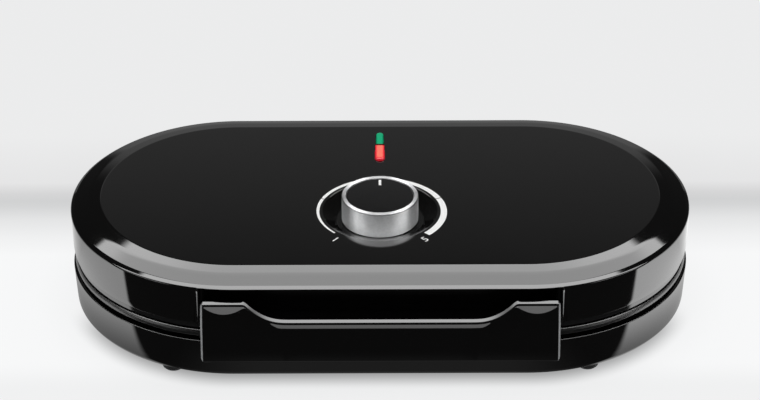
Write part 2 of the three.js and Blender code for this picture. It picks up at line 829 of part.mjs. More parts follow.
function lidRim() {
  const outside = outlineStack([
    [endRadius - beadInset - beadRound, beadBottom],
    [endRadius - beadInset, beadBottom + beadRound * 1.5],
    [endRadius - beadInset, beadTop - beadRound * 1.5],
    [endRadius - beadInset - beadRound, beadTop],
  ]);
  const opening = outlineStack([
    [openingRadius, beadBottom - overrun],
    [openingRadius, upperShelfBottom],
    [shelfRadius, upperShelfBottom],
    [shelfRadius, beadTop + overrun],
  ]);
  const places = [...endBosses, rearBoss, ...handleLugs];
  const holes = places.map((place) => screwHole(beadBottom - overrun, beadTop + overrun, place));
  const heads = places.map(([x, y]) => column(
    screwHeadRadius + fitGap, beadBottom - overrun, beadBottom + screwHeadHeight + fitGap, x, y, screwSteps,
  ));
  const notches = hingePlaces.map((x) => hingeNotch(x, beadTop + overrun));
  return cutBy(outside, [opening, ...holes, ...heads, ...notches]);
}

// Handle panel: sections across its width, each a thin wall with a rolled top edge
function frontOutline(x, radius) {
  const past = Math.max(Math.abs(x) - halfStraight, 0);
  return -Math.sqrt(radius * radius - past * past);
}

function handleTop(x) {
  const run = THREE.MathUtils.clamp((Math.abs(x) - scoopHalfFlat) / (scoopHalfTop - scoopHalfFlat), 0, 1);
  return scoopHeight + (handleTopHeight - scoopHeight) * run ** scoopPower;
}

function handleSection(x) {
  const front = frontOutline(x, endRadius + handleProud);
  const back = frontOutline(x, endRadius + handleProud - handleThickness);
  const fromEnd = Math.max(handleCornerRadius - (handleHalfWidth - Math.abs(x)), 0);
  const corner = handleCornerRadius - Math.sqrt(handleCornerRadius ** 2 - fromEnd ** 2);
  const top = handleTop(x) - corner * 0.6;
  const bottom = handleBottomHeight + corner;
  const roll = arcPoints(front + handleRoll, top - handleRoll, handleRoll, Math.PI, Math.PI / 2, 3);
  return [
    [back, bottom + handleThickness / 2],
    [front + handleThickness / 2, bottom],
    [front + handleThickness / 8, bottom + handleThickness / 2],
    [front, bottom + handleThickness * 2],
    ...roll,
    [front + handleTopDepth, top],
    [front + handleTopDepth, top - handleLip],
    [back, top - handleLip - handleThickness],
  ];
}

function handlePanel() {
  const stations = [];
  const half = [0, scoopHalfFlat / 2, scoopHalfFlat];
  const scoopSteps = 7;
  for (let k = 1; k <= scoopSteps; k += 1) {
    half.push(scoopHalfFlat + (scoopHalfTop - scoopHalfFlat) * (k / scoopSteps));
  }
  half.push((scoopHalfTop + handleHalfWidth) / 2);
  for (const share of [1, 0.6, 0.25, 0]) half.push(handleHalfWidth - handleCornerRadius * share);
  half.slice(1).reverse().forEach((x) => stations.push(-x));
  stations.push(...half);
  const rows = stations.map((x) => handleSection(x).reverse().map(([y, z]) => [x, y, z]));
  const count = rows[0].length;
  const faces = [];
  for (let s = 0; s + 1 < rows.length; s += 1) {
    for (let k = 0; k < count; k += 1) {
      const here = s * count + k;
      const next = s * count + ((k + 1) % count);
      faces.push(here, next, next + count, here, next + count, here + count);
    }
  }
  const cap = THREE.ShapeUtils.triangulateShape(
    rows[0].map(([, y, z]) => new THREE.Vector2(y, z)), [],
  );
  const last = (rows.length - 1) * count;
  for (const [i, j, l] of cap) faces.push(i, l, j, last + i, last + j, last + l);
  const geometry = new THREE.BufferGeometry();
  geometry.setAttribute('position', new THREE.Float32BufferAttribute(rows.flat(2), 3));
  geometry.setIndex(faces);
  const lugs = handleLugs.map(([x, y]) => block(
    x - handleLugWidth / 2, x + handleLugWidth / 2,
    frontOutline(x, endRadius + handleProud - handleThickness / 2), y + handleLugDepth / 2,
    beadTop + fitGap, beadTop + fitGap + handleLugHeight,
  ));
  const threads = handleLugs.map((place) => screwHole(
    beadBottom, beadBottom + shortScrewReach + fitGap * 2, place,
  ));
  return cutBy(joined([solidFrom(geometry), ...lugs]), threads);
}

// Lenses: long lenses with a flange below the lid's top, and the slot that they share
const lenses = {
  green: { low: lampGapY + fitGap / 2, high: lampGapY + greenLensLength, width: greenLensWidth },
  red: { low: lampGapY - redLensLength, high: lampGapY - fitGap / 2, width: redLensWidth },
};

function lensOutline({ low, high, width }, grow, roundEnd) {
  const radius = width / 2 + grow;
  const steps = 6;
  if (roundEnd > 0) {
    return [
      [-radius, low - grow], [radius, low - grow],
      ...arcPoints(0, high + grow - radius, radius, 0, Math.PI, steps),
    ];
  }
  return [
    ...arcPoints(0, low - grow + radius, radius, Math.PI, Math.PI * 2, steps),
    [radius, high + grow], [-radius, high + grow],
  ];
}

function lensSlots() {
  return Object.values(lenses).map((lens) => prismZ(
    lensOutline(lens, fitGap, lens === lenses.green ? 1 : -1), lidInnerTop - overrun, lidTop + overrun,
  ));
}

function lensSolid(lens, roundEnd) {
  const body = prismZ(lensOutline(lens, 0, roundEnd), lidInnerTop - lensFlange, lidTop + lensProud);
  const flange = block(
    -lens.width / 2 - lensFlange, lens.width / 2 + lensFlange, lens.low, lens.high,
    lidInnerTop - fitGap - lensFlange, lidInnerTop - fitGap,
  );
  return body.add(flange);
}

const holderTop = lidInnerTop - fitGap;
const holderInner = redLensWidth / 2 + lensFlange + fitGap;
const holderLow = lenses.red.low - fitGap;
const holderHigh = lenses.green.high + fitGap;

function lampHolder() {
  const bottom = holderTop - lampHolderHeight;
  const side = holderInner + pocketWall / 2;
  const end = pocketWall / 2;
  const outer = block(-side, side, holderLow - end, holderHigh + end, bottom, holderTop);
  const hollow = block(
    -holderInner, holderInner, holderLow, holderHigh, bottom + end, holderTop + overrun,
  );
  return outer.subtract(hollow);
}

function lamp(name, y) {
  const bulb = mesh(name, column(lampRadius, 0, lampLength, 0, 0), clearGlass);
  bulb.rotation.x = -Math.PI / 2;
  bulb.position.set(0, y, holderTop - lampHolderHeight + pocketWall / 2 + fitGap + lampRadius);
  return bulb;
}

// Thermostat: a body on a strip that is screwed to the web between the two pans
const bracketLow = upperFace + plateFlangeThickness + fitGap;
const thermostatLow = bracketLow + bracketThickness + fitGap;
const thermostatTop = thermostatLow + thermostatHeight;
const bracketScrewPlaces = [-1, 1].map((side) => [
  0, dialY + side * (bracketLength / 2 - screwHeadRadius * 1.3),
]);

function thermostatBracket() {
  const strip = block(
    -bracketWidth / 2, bracketWidth / 2, dialY - bracketLength / 2, dialY + bracketLength / 2,
    bracketLow, bracketLow + bracketThickness,
  );
  return cutBy(strip, bracketScrewPlaces.map((place) => screwHole(
    bracketLow - overrun, bracketLow + overrun, place,
  )));
}

function thermostatBody() {
  const body = block(
    -thermostatWidth / 2, thermostatWidth / 2, dialY - thermostatLength / 2,
    dialY + thermostatLength / 2, thermostatLow, thermostatTop,
  );
  const bush = column(bushRadius, thermostatTop - wall, thermostatTop + bushHeight, 0, dialY);
  const bore = column(
    shaftRadius + runningGap, thermostatTop - wall, thermostatTop + bushHeight + overrun, 0, dialY,
  );
  return body.add(bush).subtract(bore);
}

function upperShieldWithOpening() {
  const opening = block(
    -thermostatWidth / 2 - wall, thermostatWidth / 2 + wall,
    dialY - thermostatLength / 2 - wall, dialY + thermostatLength / 2 + wall,
    upperShieldFloor - overrun, upperShieldFloor + overrun,
  );
  return heatShield(beadTop + fitGap, upperShieldFloor, 1).subtract(opening);
}

function upperPlate() {
  const threads = bracketScrewPlaces.map((place) => screwHole(
    upperFace + shelfThickness / 2, bracketLow, place,
  ));
  return cutBy(bakingPlate(upperFace, 1), threads);
}

function lidGroup() {
  const group = new THREE.Group();
  group.add(mesh('lid_shell', lidShell(), blackGloss));
  group.add(mesh('lid_rim', lidRim(), blackRim));
  group.add(mesh('handle_panel', handlePanel(), blackGloss));
  group.add(mesh('upper_baking_plate', upperPlate(), castCoating));
  group.add(mesh('upper_heating_element', heater(upperUnder + fitGap + heaterRadius), heaterSteel));
  group.add(mesh('upper_heat_shield', upperShieldWithOpening(), sheetSteel));
  group.add(mesh('thermostat_bracket', thermostatBracket(), sheetSteel));
  group.add(mesh('thermostat_body', thermostatBody(), paleNylon));
  group.add(mesh('green_lens', lensSolid(lenses.green, 1), greenPlastic));
  group.add(mesh('red_lens', lensSolid(lenses.red, -1), redPlastic));
  group.add(mesh('lamp_holder', lampHolder(), paleNylon));
  group.add(lamp('green_lamp', lampGapY + fitGap));
  group.add(lamp('red_lamp', lampGapY - lampLength - redLensWidth));
  const rimScrewLow = beadBottom + fitGap / 2;
  screws('rim_screw', [...endBosses, rearBoss], rimScrewLow, longScrewReach, screwSteel)
    .forEach((screw) => group.add(screw));
  screws('handle_screw', handleLugs, rimScrewLow, shortScrewReach, screwSteel)
    .forEach((screw) => group.add(screw));
  const plateScrewLow = upperShieldFloor + shieldThickness + fitGap + screwHeadHeight;
  screws('upper_plate_screw', plateBosses, plateScrewLow, shortScrewReach, screwSteel)
    .forEach((screw) => {
      screw.rotation.x = Math.PI;
      group.add(screw);
    });
  const bracketReach = screwHeadHeight + bracketThickness + plateFlangeThickness - shelfThickness / 2;
  const bracketScrewLow = bracketLow + bracketThickness + fitGap + screwHeadHeight;
  screws('bracket_screw', bracketScrewPlaces, bracketScrewLow, bracketReach, screwSteel)
    .forEach((screw) => {
      screw.rotation.x = Math.PI;
      group.add(screw);
    });
  return group;
}

// Dial: built about its own upright axis
const knobTop = lidTop + knobProud;
const knobBottom = lidTop - dishDepth + runningGap;

function knobSolid() {
  const recess = knobTop - knobRecess;
  const innerRim = knobRadius - knobRimWidth;
  const edge = knobRimWidth / 4;
  const roof = recess - knobWall;
  return turned([
    [0, recess], [innerRim, recess], [innerRim, knobTop - edge], [innerRim + edge, knobTop],
    [knobRadius - edge, knobTop], [knobRadius, knobTop - edge], [knobRadius, knobBottom + edge],
    [knobRadius - edge / 2, knobBottom], [knobRadius - knobWall, knobBottom],
    [knobRadius - knobWall, roof], [hubRadius, roof], [hubRadius, knobBottom + knobWall],
    [shaftRadius + fitGap, knobBottom + knobWall], [shaftRadius + fitGap, roof - knobWall / 2],
    [0, roof - knobWall / 2],
  ], dialSteps);
}

function dialGroup() {
  const group = new THREE.Group();
  group.position.set(0, dialY, 0);
  group.add(mesh('control_knob', knobSolid(), silverPaint));
  const insertLow = knobTop - knobRecess + fitGap;
  const insertRadius = knobRadius - knobRimWidth - fitGap;
  const insertTop = insertLow + insertThickness;
  group.add(mesh('knob_insert', turned([
    [0, insertLow], [insertRadius, insertLow], [insertRadius, insertTop - fitGap],
    [insertRadius - fitGap, insertTop], [0, insertTop],
  ], dialSteps), blackInsert));
  const pointerEnd = insertRadius - pointerWidth;
  group.add(mesh('knob_pointer', block(
    -pointerWidth / 2, pointerWidth / 2, pointerEnd - pointerLength, pointerEnd,
    insertTop + fitGap / 2, insertTop + fitGap / 2 + pointerThickness,
  ), whiteInk));
  const shaftLow = thermostatTop - wall + fitGap;
  const shaftHigh = knobTop - knobRecess - knobWall * 1.5 - fitGap;
  group.add(mesh('thermostat_shaft', column(shaftRadius, shaftLow, shaftHigh, 0, 0), screwSteel));
  return group;
}

const waffleMaker = new THREE.Group();
waffleMaker.add(baseGroup());
waffleMaker.add(lidGroup());
waffleMaker.add(dialGroup());

export default waffleMaker;
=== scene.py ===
import math

import bmesh
import bpy
from mathutils import Matrix, Vector


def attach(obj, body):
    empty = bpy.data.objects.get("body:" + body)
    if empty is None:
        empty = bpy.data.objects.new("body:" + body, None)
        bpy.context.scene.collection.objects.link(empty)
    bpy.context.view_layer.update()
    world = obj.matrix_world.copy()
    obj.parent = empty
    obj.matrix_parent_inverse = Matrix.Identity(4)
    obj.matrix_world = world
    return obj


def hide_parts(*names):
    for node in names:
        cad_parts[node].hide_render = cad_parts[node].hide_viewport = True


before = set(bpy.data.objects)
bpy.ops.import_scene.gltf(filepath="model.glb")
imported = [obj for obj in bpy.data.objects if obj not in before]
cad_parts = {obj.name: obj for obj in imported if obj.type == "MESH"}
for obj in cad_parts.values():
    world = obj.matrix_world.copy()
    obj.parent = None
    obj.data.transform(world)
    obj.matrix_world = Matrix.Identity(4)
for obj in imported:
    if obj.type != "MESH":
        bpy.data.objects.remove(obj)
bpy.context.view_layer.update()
print("frame loaded:", len(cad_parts), "nodes")

mm = 0.001
full = math.tau
weld = 0.002 * mm  # points closer than this are joined
outline = {"radius": 107.2, "half": 92.8, "arcSteps": 72, "straightSteps": 12}  # both casings, from above


def added(name, data):
    made = bpy.data.objects.new(name, data)
    bpy.context.scene.collection.objects.link(made)
    return made


# Distances in mm, angles in degrees, the focal length in picture points
camera = {
    "distance": 3200, "elevation": 30.6, "aimHeight": 72.6, "roll": -0.19,
    "focal": 4952, "width": 760, "sensor": 36, "reach": 30,
}


def placeCamera():
    lift = math.radians(camera["elevation"])
    data = bpy.data.cameras.new("camera")
    data.sensor_width = camera["sensor"]
    data.lens = camera["focal"] / camera["width"] * camera["sensor"]
    data.clip_end = camera["reach"]
    eye = added("camera", data)
    away, up = camera["distance"] * math.cos(lift), camera["distance"] * math.sin(lift)
    eye.location = (0, -away * mm, (up + camera["aimHeight"]) * mm)
    turn = Matrix.Rotation(math.pi / 2 - lift, 3, "X")
    turn = turn @ Matrix.Rotation(math.radians(camera["roll"]), 3, "Z")
    eye.rotation_euler = turn.to_euler()
    bpy.context.scene.camera = eye


placeCamera()


# Shader maths: an expression on wires adds its nodes
class Wire:
    def __init__(self, look, socket):
        self.look = look
        self.socket = socket

    def beside(self, key):
        return Wire(self.look, self.socket.node.outputs[key])

    def maths(self, operation, first, second=None):
        return self.look.node("ShaderNodeMath", {"operation": operation}, {0: first, 1: second})

    def __add__(self, other):
        return self.maths("ADD", self, other)

    def __radd__(self, other):
        return self.maths("ADD", other, self)

    def __sub__(self, other):
        return self.maths("SUBTRACT", self, other)

    def __rsub__(self, other):
        return self.maths("SUBTRACT", other, self)

    def __mul__(self, other):
        return self.maths("MULTIPLY", self, other)

    def __rmul__(self, other):
        return self.maths("MULTIPLY", other, self)

    def __truediv__(self, other):
        return self.maths("DIVIDE", self, other)

    def __rtruediv__(self, other):
        return self.maths("DIVIDE", other, self)

    def __abs__(self):
        return self.maths("ABSOLUTE", self)

    def between(self, low, high, start=0.3, end=0.7, kind="LINEAR"):
        return self.look.node("ShaderNodeMapRange", {"interpolation_type": kind}, {
            "Value": self, "From Min": start, "From Max": end, "To Min": low, "To Max": high,
        })

    def rise(self, start, end):
        return self.between(0, 1, start, end, "SMOOTHSTEP")

    def fall(self, start, end):
        return self.between(1, 0, start, end, "SMOOTHSTEP")


class Look:
    def __init__(self, tree):
        self.tree = tree
        self.tree.nodes.clear()

    def node(self, kind, settings=None, inputs=None, output=0):
        made = self.tree.nodes.new(kind)
        for key, value in (settings or {}).items():
            if key == "stops":
                ramp = made.color_ramp
                while len(ramp.elements) < len(value):
                    ramp.elements.new(0.5)
                for element, (place, colour) in zip(ramp.elements, value):
                    element.position = place
                    element.color = (*colour, 1)
            else:
                setattr(made, key, value)
        for key, value in (inputs or {}).items():
            if isinstance(value, Wire):
                self.tree.links.new(value.socket, made.inputs[key])
            elif value is not None:
                isColour = isinstance(value, tuple) and made.inputs[key].type == "RGBA"
                made.inputs[key].default_value = (*value, 1) if isColour else value
        return Wire(self, made.outputs[output]) if made.outputs else None

    def place(self):
        spot = self.node("ShaderNodeTexCoord", output="Object")
        x = self.node("ShaderNodeSeparateXYZ", None, {0: spot})
        return x, x.beside(1), x.beside(2)

    def noise(self, scale, detail=3, rough=0.5, stretch=(1, 1, 1)):
        spot = self.node("ShaderNodeTexCoord", output="Object")
        vector = self.node("ShaderNodeVectorMath", {"operation": "MULTIPLY"}, {0: spot, 1: stretch})
        return self.node("ShaderNodeTexNoise", None, {
            "Vector": vector, "Scale": scale, "Detail": detail, "Roughness": rough,
        })

    def blend(self, mask, first, second):
        return self.node("ShaderNodeMix", {"data_type": "RGBA"}, {0: mask, 6: first, 7: second}, 2)


def distance(x, y):
    square = x * x + y * y
    return square.maths("SQRT", square)


def finish(name, build):
    material = bpy.data.materials.new(name)
    material.use_nodes = True
    look = Look(material.node_tree)
    look.node("ShaderNodeOutputMaterial", None, {"Surface": build(look)})
    return material


def surface(look, inputs, colour, rough, height=None, bump=(0, 0)):
    inputs = {**inputs, "Base Color": colour, "Roughness": rough}
    if height is not None:
        relief = {"Height": height, "Distance": bump[0], "Strength": bump[1]}
        inputs["Normal"] = look.node("ShaderNodeBump", None, relief)
    return look.node("ShaderNodeBsdfPrincipled", None, inputs)


# Moulded black plastic with a polished face: faint haze, dust and a long, soft waviness
polish = {
    "tint": (0.0022, 0.0021, 0.0021), "dust": (0.006, 0.006, 0.0062), "dusty": 0.35, "ior": 1.6,
    "rough": (0.035, 0.065), "dustRough": 0.05, "haze": (9, 4, 0.6), "specks": (900, 2, 0.7),
    "speckEdge": (0.70, 0.78), "wave": (16, 1, 0.4), "bump": (0.0002, 0.05),
}
# Painted reflection of the dial on the shell, in metres: a pale metallic crescent before the dial and on the
# front of its dish
paintedDialReflection = {
    "tint": (0.80, 0.80, 0.81), "moon": 0.17, "moonAxis": 0.0424, "moonEdge": (0.0215, 0.0252),
    "moonLevel": (0.0768, 0.0769), "dish": 0.25, "dishAxis": 0.0214, "dishEdge": (0.0370, 0.0374),
    "dishFront": (-0.046, -0.040), "dishLevel": (0.0700, 0.0705),
}
satinBead = {"from": (0.0328, 0.0334), "rough": (0.30, 0.10), "top": (0.0374, 0.0381)}  # along the seam


def polishLook(kind):
    def build(look):
        x, y, z = look.place()
        specks = look.noise(*polish["specks"]).between(0, 1, *polish["speckEdge"])
        colour = look.blend(specks * polish["dusty"], polish["tint"], polish["dust"])
        rough = look.noise(*polish["haze"]).between(*polish["rough"]) + specks * polish["dustRough"]
        inputs = {"IOR": polish["ior"]}
        if kind == "shell":
            # painted reflection of the dial: a pale metallic tint on the crescent before it and on the front
            # of its dish
            moon = distance(x, y + paintedDialReflection["moonAxis"]).fall(*paintedDialReflection["moonEdge"])
            moon = moon * z.between(0, 1, *paintedDialReflection["moonLevel"]) * paintedDialReflection["moon"]
            dish = distance(x, y + paintedDialReflection["dishAxis"]).fall(*paintedDialReflection["dishEdge"])
            dish = dish * y.fall(*paintedDialReflection["dishFront"]) * z.between(0, 1, *paintedDialReflection["dishLevel"])
            moon = moon + dish * (1 - moon) * paintedDialReflection["dish"]
            colour = look.blend(moon, colour, paintedDialReflection["tint"])
            inputs["Metallic"] = moon
        elif kind == "base":
            bead = z.rise(*satinBead["from"])
            rough = rough + bead * z.between(*satinBead["rough"], *satinBead["top"], "SMOOTHSTEP")
        return surface(look, inputs, colour, rough, look.noise(*polish["wave"]), polish["bump"])
    return build


# The handle panel has the same polish, with a painted highlight along its two upright edges, which are pale,
# patchy and dull
wearAndPaintedHighlight = {
    "edge": (0.1123, 0.1126), "front": (-0.1040, -0.1030), "top": (0.0588, 0.0592),
    "tint": (0.33, 0.335, 0.34), "rough": 0.3, "grain": (900, 3), "patchy": (0.8, 1.1),
}


def panelLook(look):
    x, y, z = look.place()
    # painted highlight: the front's upright edges are made pale, patchy and rough
    edge = abs(x).rise(*wearAndPaintedHighlight["edge"]) * y.fall(*wearAndPaintedHighlight["front"]) * z.fall(*wearAndPaintedHighlight["top"])
    edge = edge * look.noise(*wearAndPaintedHighlight["grain"]).between(*wearAndPaintedHighlight["patchy"])
    colour = look.blend(edge, polish["tint"], wearAndPaintedHighlight["tint"])
    rough = look.noise(*polish["haze"]).between(*polish["rough"]) + edge * wearAndPaintedHighlight["rough"]
    return surface(look, {"IOR": polish["ior"]}, colour, rough, look.noise(*polish["wave"]), polish["bump"])


# Satin aluminium turned on a lathe, so its shine spreads across the fine rings
turned = {
    "axis": 0.0214, "rings": 7000, "cloud": (500, 3),
    "low": (0.60, 0.605, 0.61), "high": (0.68, 0.685, 0.69),
    "topLevel": (0.0877, 0.0882), "topPaintedShade": (0.31, 0.31, 0.315), "rimLevel": (0.0887, 0.08895),
    "rimPaintedShade": (0.25, 0.25, 0.2525), "rimPaintedHighlight": (0.80, 0.80, 0.808), "rimReach": (0.004, 0.019),
    "rough": (0.44, 0.52), "uneven": 0.02, "bump": (0.00002, 0.3),
    "steady": {"IOR": 1.5, "Metallic": 1.0, "Anisotropic": 0.85, "Anisotropic Rotation": 0.25},
}


def silverLook(look):
    x, y, z = look.place()
    rings = look.node("ShaderNodeTexNoise", {"noise_dimensions": "1D"}, {
        "W": distance(x, y + turned["axis"]) + z, "Scale": turned["rings"], "Detail": 2, "Roughness": 0.5,
    })
    cloud = look.noise(*turned["cloud"])
    colour = look.blend(cloud.between(0, 1), turned["low"], turned["high"])
    # painted shade: the top of the knob is darker than its turned wall
    colour = look.blend(z.rise(*turned["topLevel"]), colour, turned["topPaintedShade"])
    # painted highlight and shade on the flat rim: pale at its left and right, dark at its front and back
    paintedRimLight = look.blend(abs(x).rise(*turned["rimReach"]), turned["rimPaintedShade"], turned["rimPaintedHighlight"])
    colour = look.blend(z.rise(*turned["rimLevel"]), colour, paintedRimLight)
    rough = rings.between(*turned["rough"]) + cloud.between(-turned["uneven"], turned["uneven"])
    return surface(look, turned["steady"], colour, rough, rings, turned["bump"])


# Fired non-stick coating on cast aluminium, with pale specks and worn patches
coating = {
    "tint": (0.020, 0.020, 0.021), "speck": (0.075, 0.073, 0.070), "wearAndPaintedHighlight": (0.040, 0.038, 0.036),
    "cast": (260, 4, 0.65), "specks": (2200, 2, 0.8), "speckEdge": (0.62, 0.75), "wear": (22, 5, 0.6),
    "wearEdge": (0.45, 0.75), "specked": 0.5, "wearing": 0.3, "rough": (0.36, 0.52), "speckRough": 0.08,
    "bump": (0.00012, 0.4), "ior": 1.45,
}


def coatingLook(look):
    cast = look.noise(*coating["cast"])
    specks = look.noise(*coating["specks"]).between(0, 1, *coating["speckEdge"])
    wear = look.noise(*coating["wear"]).between(0, 1, *coating["wearEdge"])
    colour = look.blend(specks * coating["specked"], coating["tint"], coating["speck"])
    colour = look.blend(wear * coating["wearing"], colour, coating["wearAndPaintedHighlight"])
    rough = cast.between(*coating["rough"]) + specks * coating["speckRough"]
    return surface(look, {"IOR": coating["ior"]}, colour, rough, cast, coating["bump"])


# Lit lens: deep colour at its sides and ends, pale where the lamp sits behind it
litLens = {
    "core": (0.45, 0.85), "end": 3, "ripple": (420, 2), "rippled": 0.2, "cloud": (300,),
    "rough": (0.06, 0.16), "bump": (0.00004, 0.2), "ior": 1.49,
    "green": {
        "deep": (0.0, 0.25, 0.11), "bright": (0.0, 0.33, 0.15), "glow": 0.25, "span": (60, 80), "half": 2.4,
    },
    "red": {
        "deep": (0.70, 0.018, 0.035), "bright": (0.80, 0.17, 0.115), "glow": 0.35, "span": (43.5, 63),
        "half": 3.0,
    },
}


def lensLook(name):
    def build(look):
        x, y, z = look.place()
        lit, end = litLens[name], litLens["end"]
        low, high = lit["span"]
        core = abs(x).fall(*(lit["half"] * share * mm for share in litLens["core"]))
        core = core * y.rise(low * mm, (low + end) * mm) * y.fall((high - end) * mm, high * mm)
        ripple = look.noise(*litLens["ripple"]).between(0, litLens["rippled"])
        colour = look.blend(core * (1 - ripple), lit["deep"], lit["bright"])
        inputs = {"IOR": litLens["ior"], "Emission Strength": lit["glow"], "Emission Color": colour}
        rough = look.noise(*litLens["cloud"]).between(*litLens["rough"])
        return surface(look, inputs, colour, rough, ripple, litLens["bump"])
    return build


# Plain finishes: a grain tints and bumps them, and gives their roughness unless cloud or relief does
plain = {
    "rim": {
        "name": "blackRimPlastic", "low": (0.0040, 0.0040, 0.0041), "high": (0.0075, 0.0075, 0.0078),
        "rough": (0.06, 0.11), "grain": (700, 3, 0.6), "cloud": (60,), "bump": (0.00006, 0.05), "ior": 1.55,
    },
    "satin": {
        "name": "satinBlackPlastic", "low": (0.0040, 0.0040, 0.0041), "high": (0.0075, 0.0075, 0.0078),
        "rough": (0.26, 0.38), "grain": (700, 3, 0.6), "cloud": (60,), "bump": (0.00006, 0.35), "ior": 1.55,
    },
    "insert": {
        "name": "polishedBlackInsert", "low": (0.0030, 0.0030, 0.0031), "high": (0.0050, 0.0050, 0.0052),
        "rough": (0.05, 0.09), "grain": (40, 3), "bump": (0.00005, 0.1), "ior": 1.55,
    },
    "ink": {
        "name": "whiteInk", "low": (0.78, 0.78, 0.77), "high": (0.90, 0.90, 0.89),
        "rough": (0.38, 0.5), "grain": (1400, 2), "bump": (0.00002, 0.2),
    },
    "heater": {
        "name": "heaterSheath", "low": (0.16, 0.14, 0.12), "high": (0.27, 0.25, 0.22),
        "rough": (0.4, 0.6), "grain": (300, 4, 0.6), "bump": (0.00005, 0.3), "metal": 1.0,
    },
    "sheet": {
        "name": "rolledSheetSteel", "low": (0.42, 0.43, 0.44), "high": (0.56, 0.57, 0.58),
        "rough": (0.25, 0.4), "grain": (300, 4, 0.6, (1, 12, 1)), "bump": (0.00005, 0.3), "metal": 1.0,
    },
    "screw": {
        "name": "zincPlatedSteel", "low": (0.36, 0.37, 0.38), "high": (0.52, 0.53, 0.55),
        "rough": (0.28, 0.42), "grain": (600, 4, 0.6), "bump": (0.00005, 0.3), "metal": 1.0,
    },
    "rubber": {
        "name": "footRubber", "low": (0.010, 0.010, 0.011), "high": (0.024, 0.024, 0.025),
        "rough": (0.55, 0.75), "grain": (1500, 4, 0.7), "bump": (0.00012, 0.5),
    },
    "nylon": {
        "name": "paleNylon", "low": (0.70, 0.66, 0.56), "high": (0.80, 0.77, 0.68),
        "rough": (0.42, 0.6), "grain": (90, 4), "relief": (800,), "bump": (0.00005, 0.3), "ior": 1.53,
    },
    "glass": {
        "name": "lampGlass", "low": (0.78, 0.60, 0.42), "high": (0.88, 0.72, 0.55),
        "rough": (0.06, 0.12), "grain": (200, 2),
    },
}


def plainLook(values):
    def build(look):
        grain = look.noise(*values["grain"])
        cloud = look.noise(*values["cloud"]) if "cloud" in values else grain
        relief = look.noise(*values["relief"]) if "relief" in values else grain
        colour = look.blend(grain.between(0, 1), values["low"], values["high"])
        inputs = {"IOR": values.get("ior", 1.5), "Metallic": values.get("metal", 0.0)}
        bump = values.get("bump")
        rough = cloud.between(*values["rough"])
        return surface(look, inputs, colour, rough, relief if bump else None, bump)
    return build


looks = {
    "gloss": finish("glossBlackPlastic", polishLook("plain")),
    "shell": finish("glossBlackShell", polishLook("shell")),
    "base": finish("glossBlackBase", polishLook("base")),
    "panel": finish("panelBlackPlastic", panelLook),
    "silver": finish("satinAluminium", silverLook),
    "coating": finish("nonStickCoating", coatingLook),
    "green": finish("greenLens", lensLook("green")),
    "red": finish("redLens", lensLook("red")),
}
for key, values in plain.items():
    looks[key] = finish(values["name"], plainLook(values))
print("materials made:", len(looks))


# Rounds the corners of a path of (across, up, radius)
def fillet(path, steps=5, closed=False):
    points = []
    last = len(path) - 1
    for k, (u, v, radius) in enumerate(path):
        corner = Vector((u, v))
        if radius <= 0 or (not closed and k in (0, last)):
            points.append((u, v))
            continue
        before = Vector(path[k - 1][:2]) - corner
        after = Vector(path[(k + 1) % len(path)][:2]) - corner
        a = before.normalized()
        b = after.normalized()
        half = a.angle(b) / 2
        reach = min(radius / math.tan(half), before.length * 0.49, after.length * 0.49)
        arm = reach * math.tan(half)
        centre = corner + (a + b).normalized() * (arm / math.sin(half))
        start = corner + a * reach - centre
        end = corner + b * reach - centre
        first = math.atan2(start.y, start.x)
        turn = (math.atan2(end.y, end.x) - first + math.pi) % full - math.pi
        for s in range(steps + 1):
            angle = first + turn * s / steps
            points.append((centre.x + arm * math.cos(angle), centre.y + arm * math.sin(angle)))
    return points


def ease(value):
    t = min(max(value, 0), 1)
    return t * t * (3 - 2 * t)


def ovalRow(inset, z):
    radius = outline["radius"] - inset
    half = outline["half"]
    row = []
    for side in (1, -1):
        for k in range(outline["arcSteps"] + 1):
            angle = math.pi * (k / outline["arcSteps"] - 0.5)
            row.append((side * (half + radius * math.cos(angle)), side * radius * math.sin(angle), z))
        for k in range(1, outline["straightSteps"]):
            row.append((side * half * (1 - 2 * k / outline["straightSteps"]), side * radius, z))
    return row


def circleRow(radius, z, steps, x=0, y=0):
    angles = [full * k / steps for k in range(steps)]
    return [(x + radius * math.cos(angle), y + radius * math.sin(angle), z) for angle in angles]


def addRow(bm, row):
    return [bm.verts.new(Vector(point) * mm) for point in row]


def addSkin(bm, rows, around=True, over=False):
    bands = list(zip(rows, rows[1:])) + ([(rows[-1], rows[0])] if over else [])
    for low, high in bands:
        count = len(low)
        for k in range(count if around else count - 1):
            bm.faces.new((low[k], low[(k + 1) % count], high[(k + 1) % count], high[k]))


def addSolid(bm, rows):
    addSkin(bm, rows)
    bm.faces.new(rows[0])
    bm.faces.new(rows[-1])


def fillFlat(bm, loops):
    edges = []
    for loop in loops:
        for pair in zip(loop, loop[1:] + loop[:1]):
            edges.append(bm.edges.get(pair) or bm.edges.new(pair))
    bmesh.ops.triangle_fill(bm, use_beauty=True, use_dissolve=False, edges=edges, normal=(0, 0, 1))


def turnedInto(bm, path, steps, x=0, y=0, closed=False):
    rows = [addRow(bm, circleRow(max(radius, 0.0001), z, steps, x, y)) for radius, z in path]
    addSkin(bm, rows, True, closed)
    return [vert for row in rows for vert in row]


def laidAlong(bm, verts, axis, angle, at):
    bmesh.ops.rotate(bm, verts=verts, cent=(0, 0, 0), matrix=Matrix.Rotation(angle, 3, axis))
    bmesh.ops.translate(bm, vec=Vector(at) * mm, verts=verts)


def blockInto(bm, low, high):
    made = bmesh.ops.create_cube(bm, size=1)["verts"]
    bmesh.ops.scale(bm, vec=[(b - a) * mm for a, b in zip(low, high)], verts=made)
    bmesh.ops.translate(bm, vec=[(a + b) / 2 * mm for a, b in zip(low, high)], verts=made)


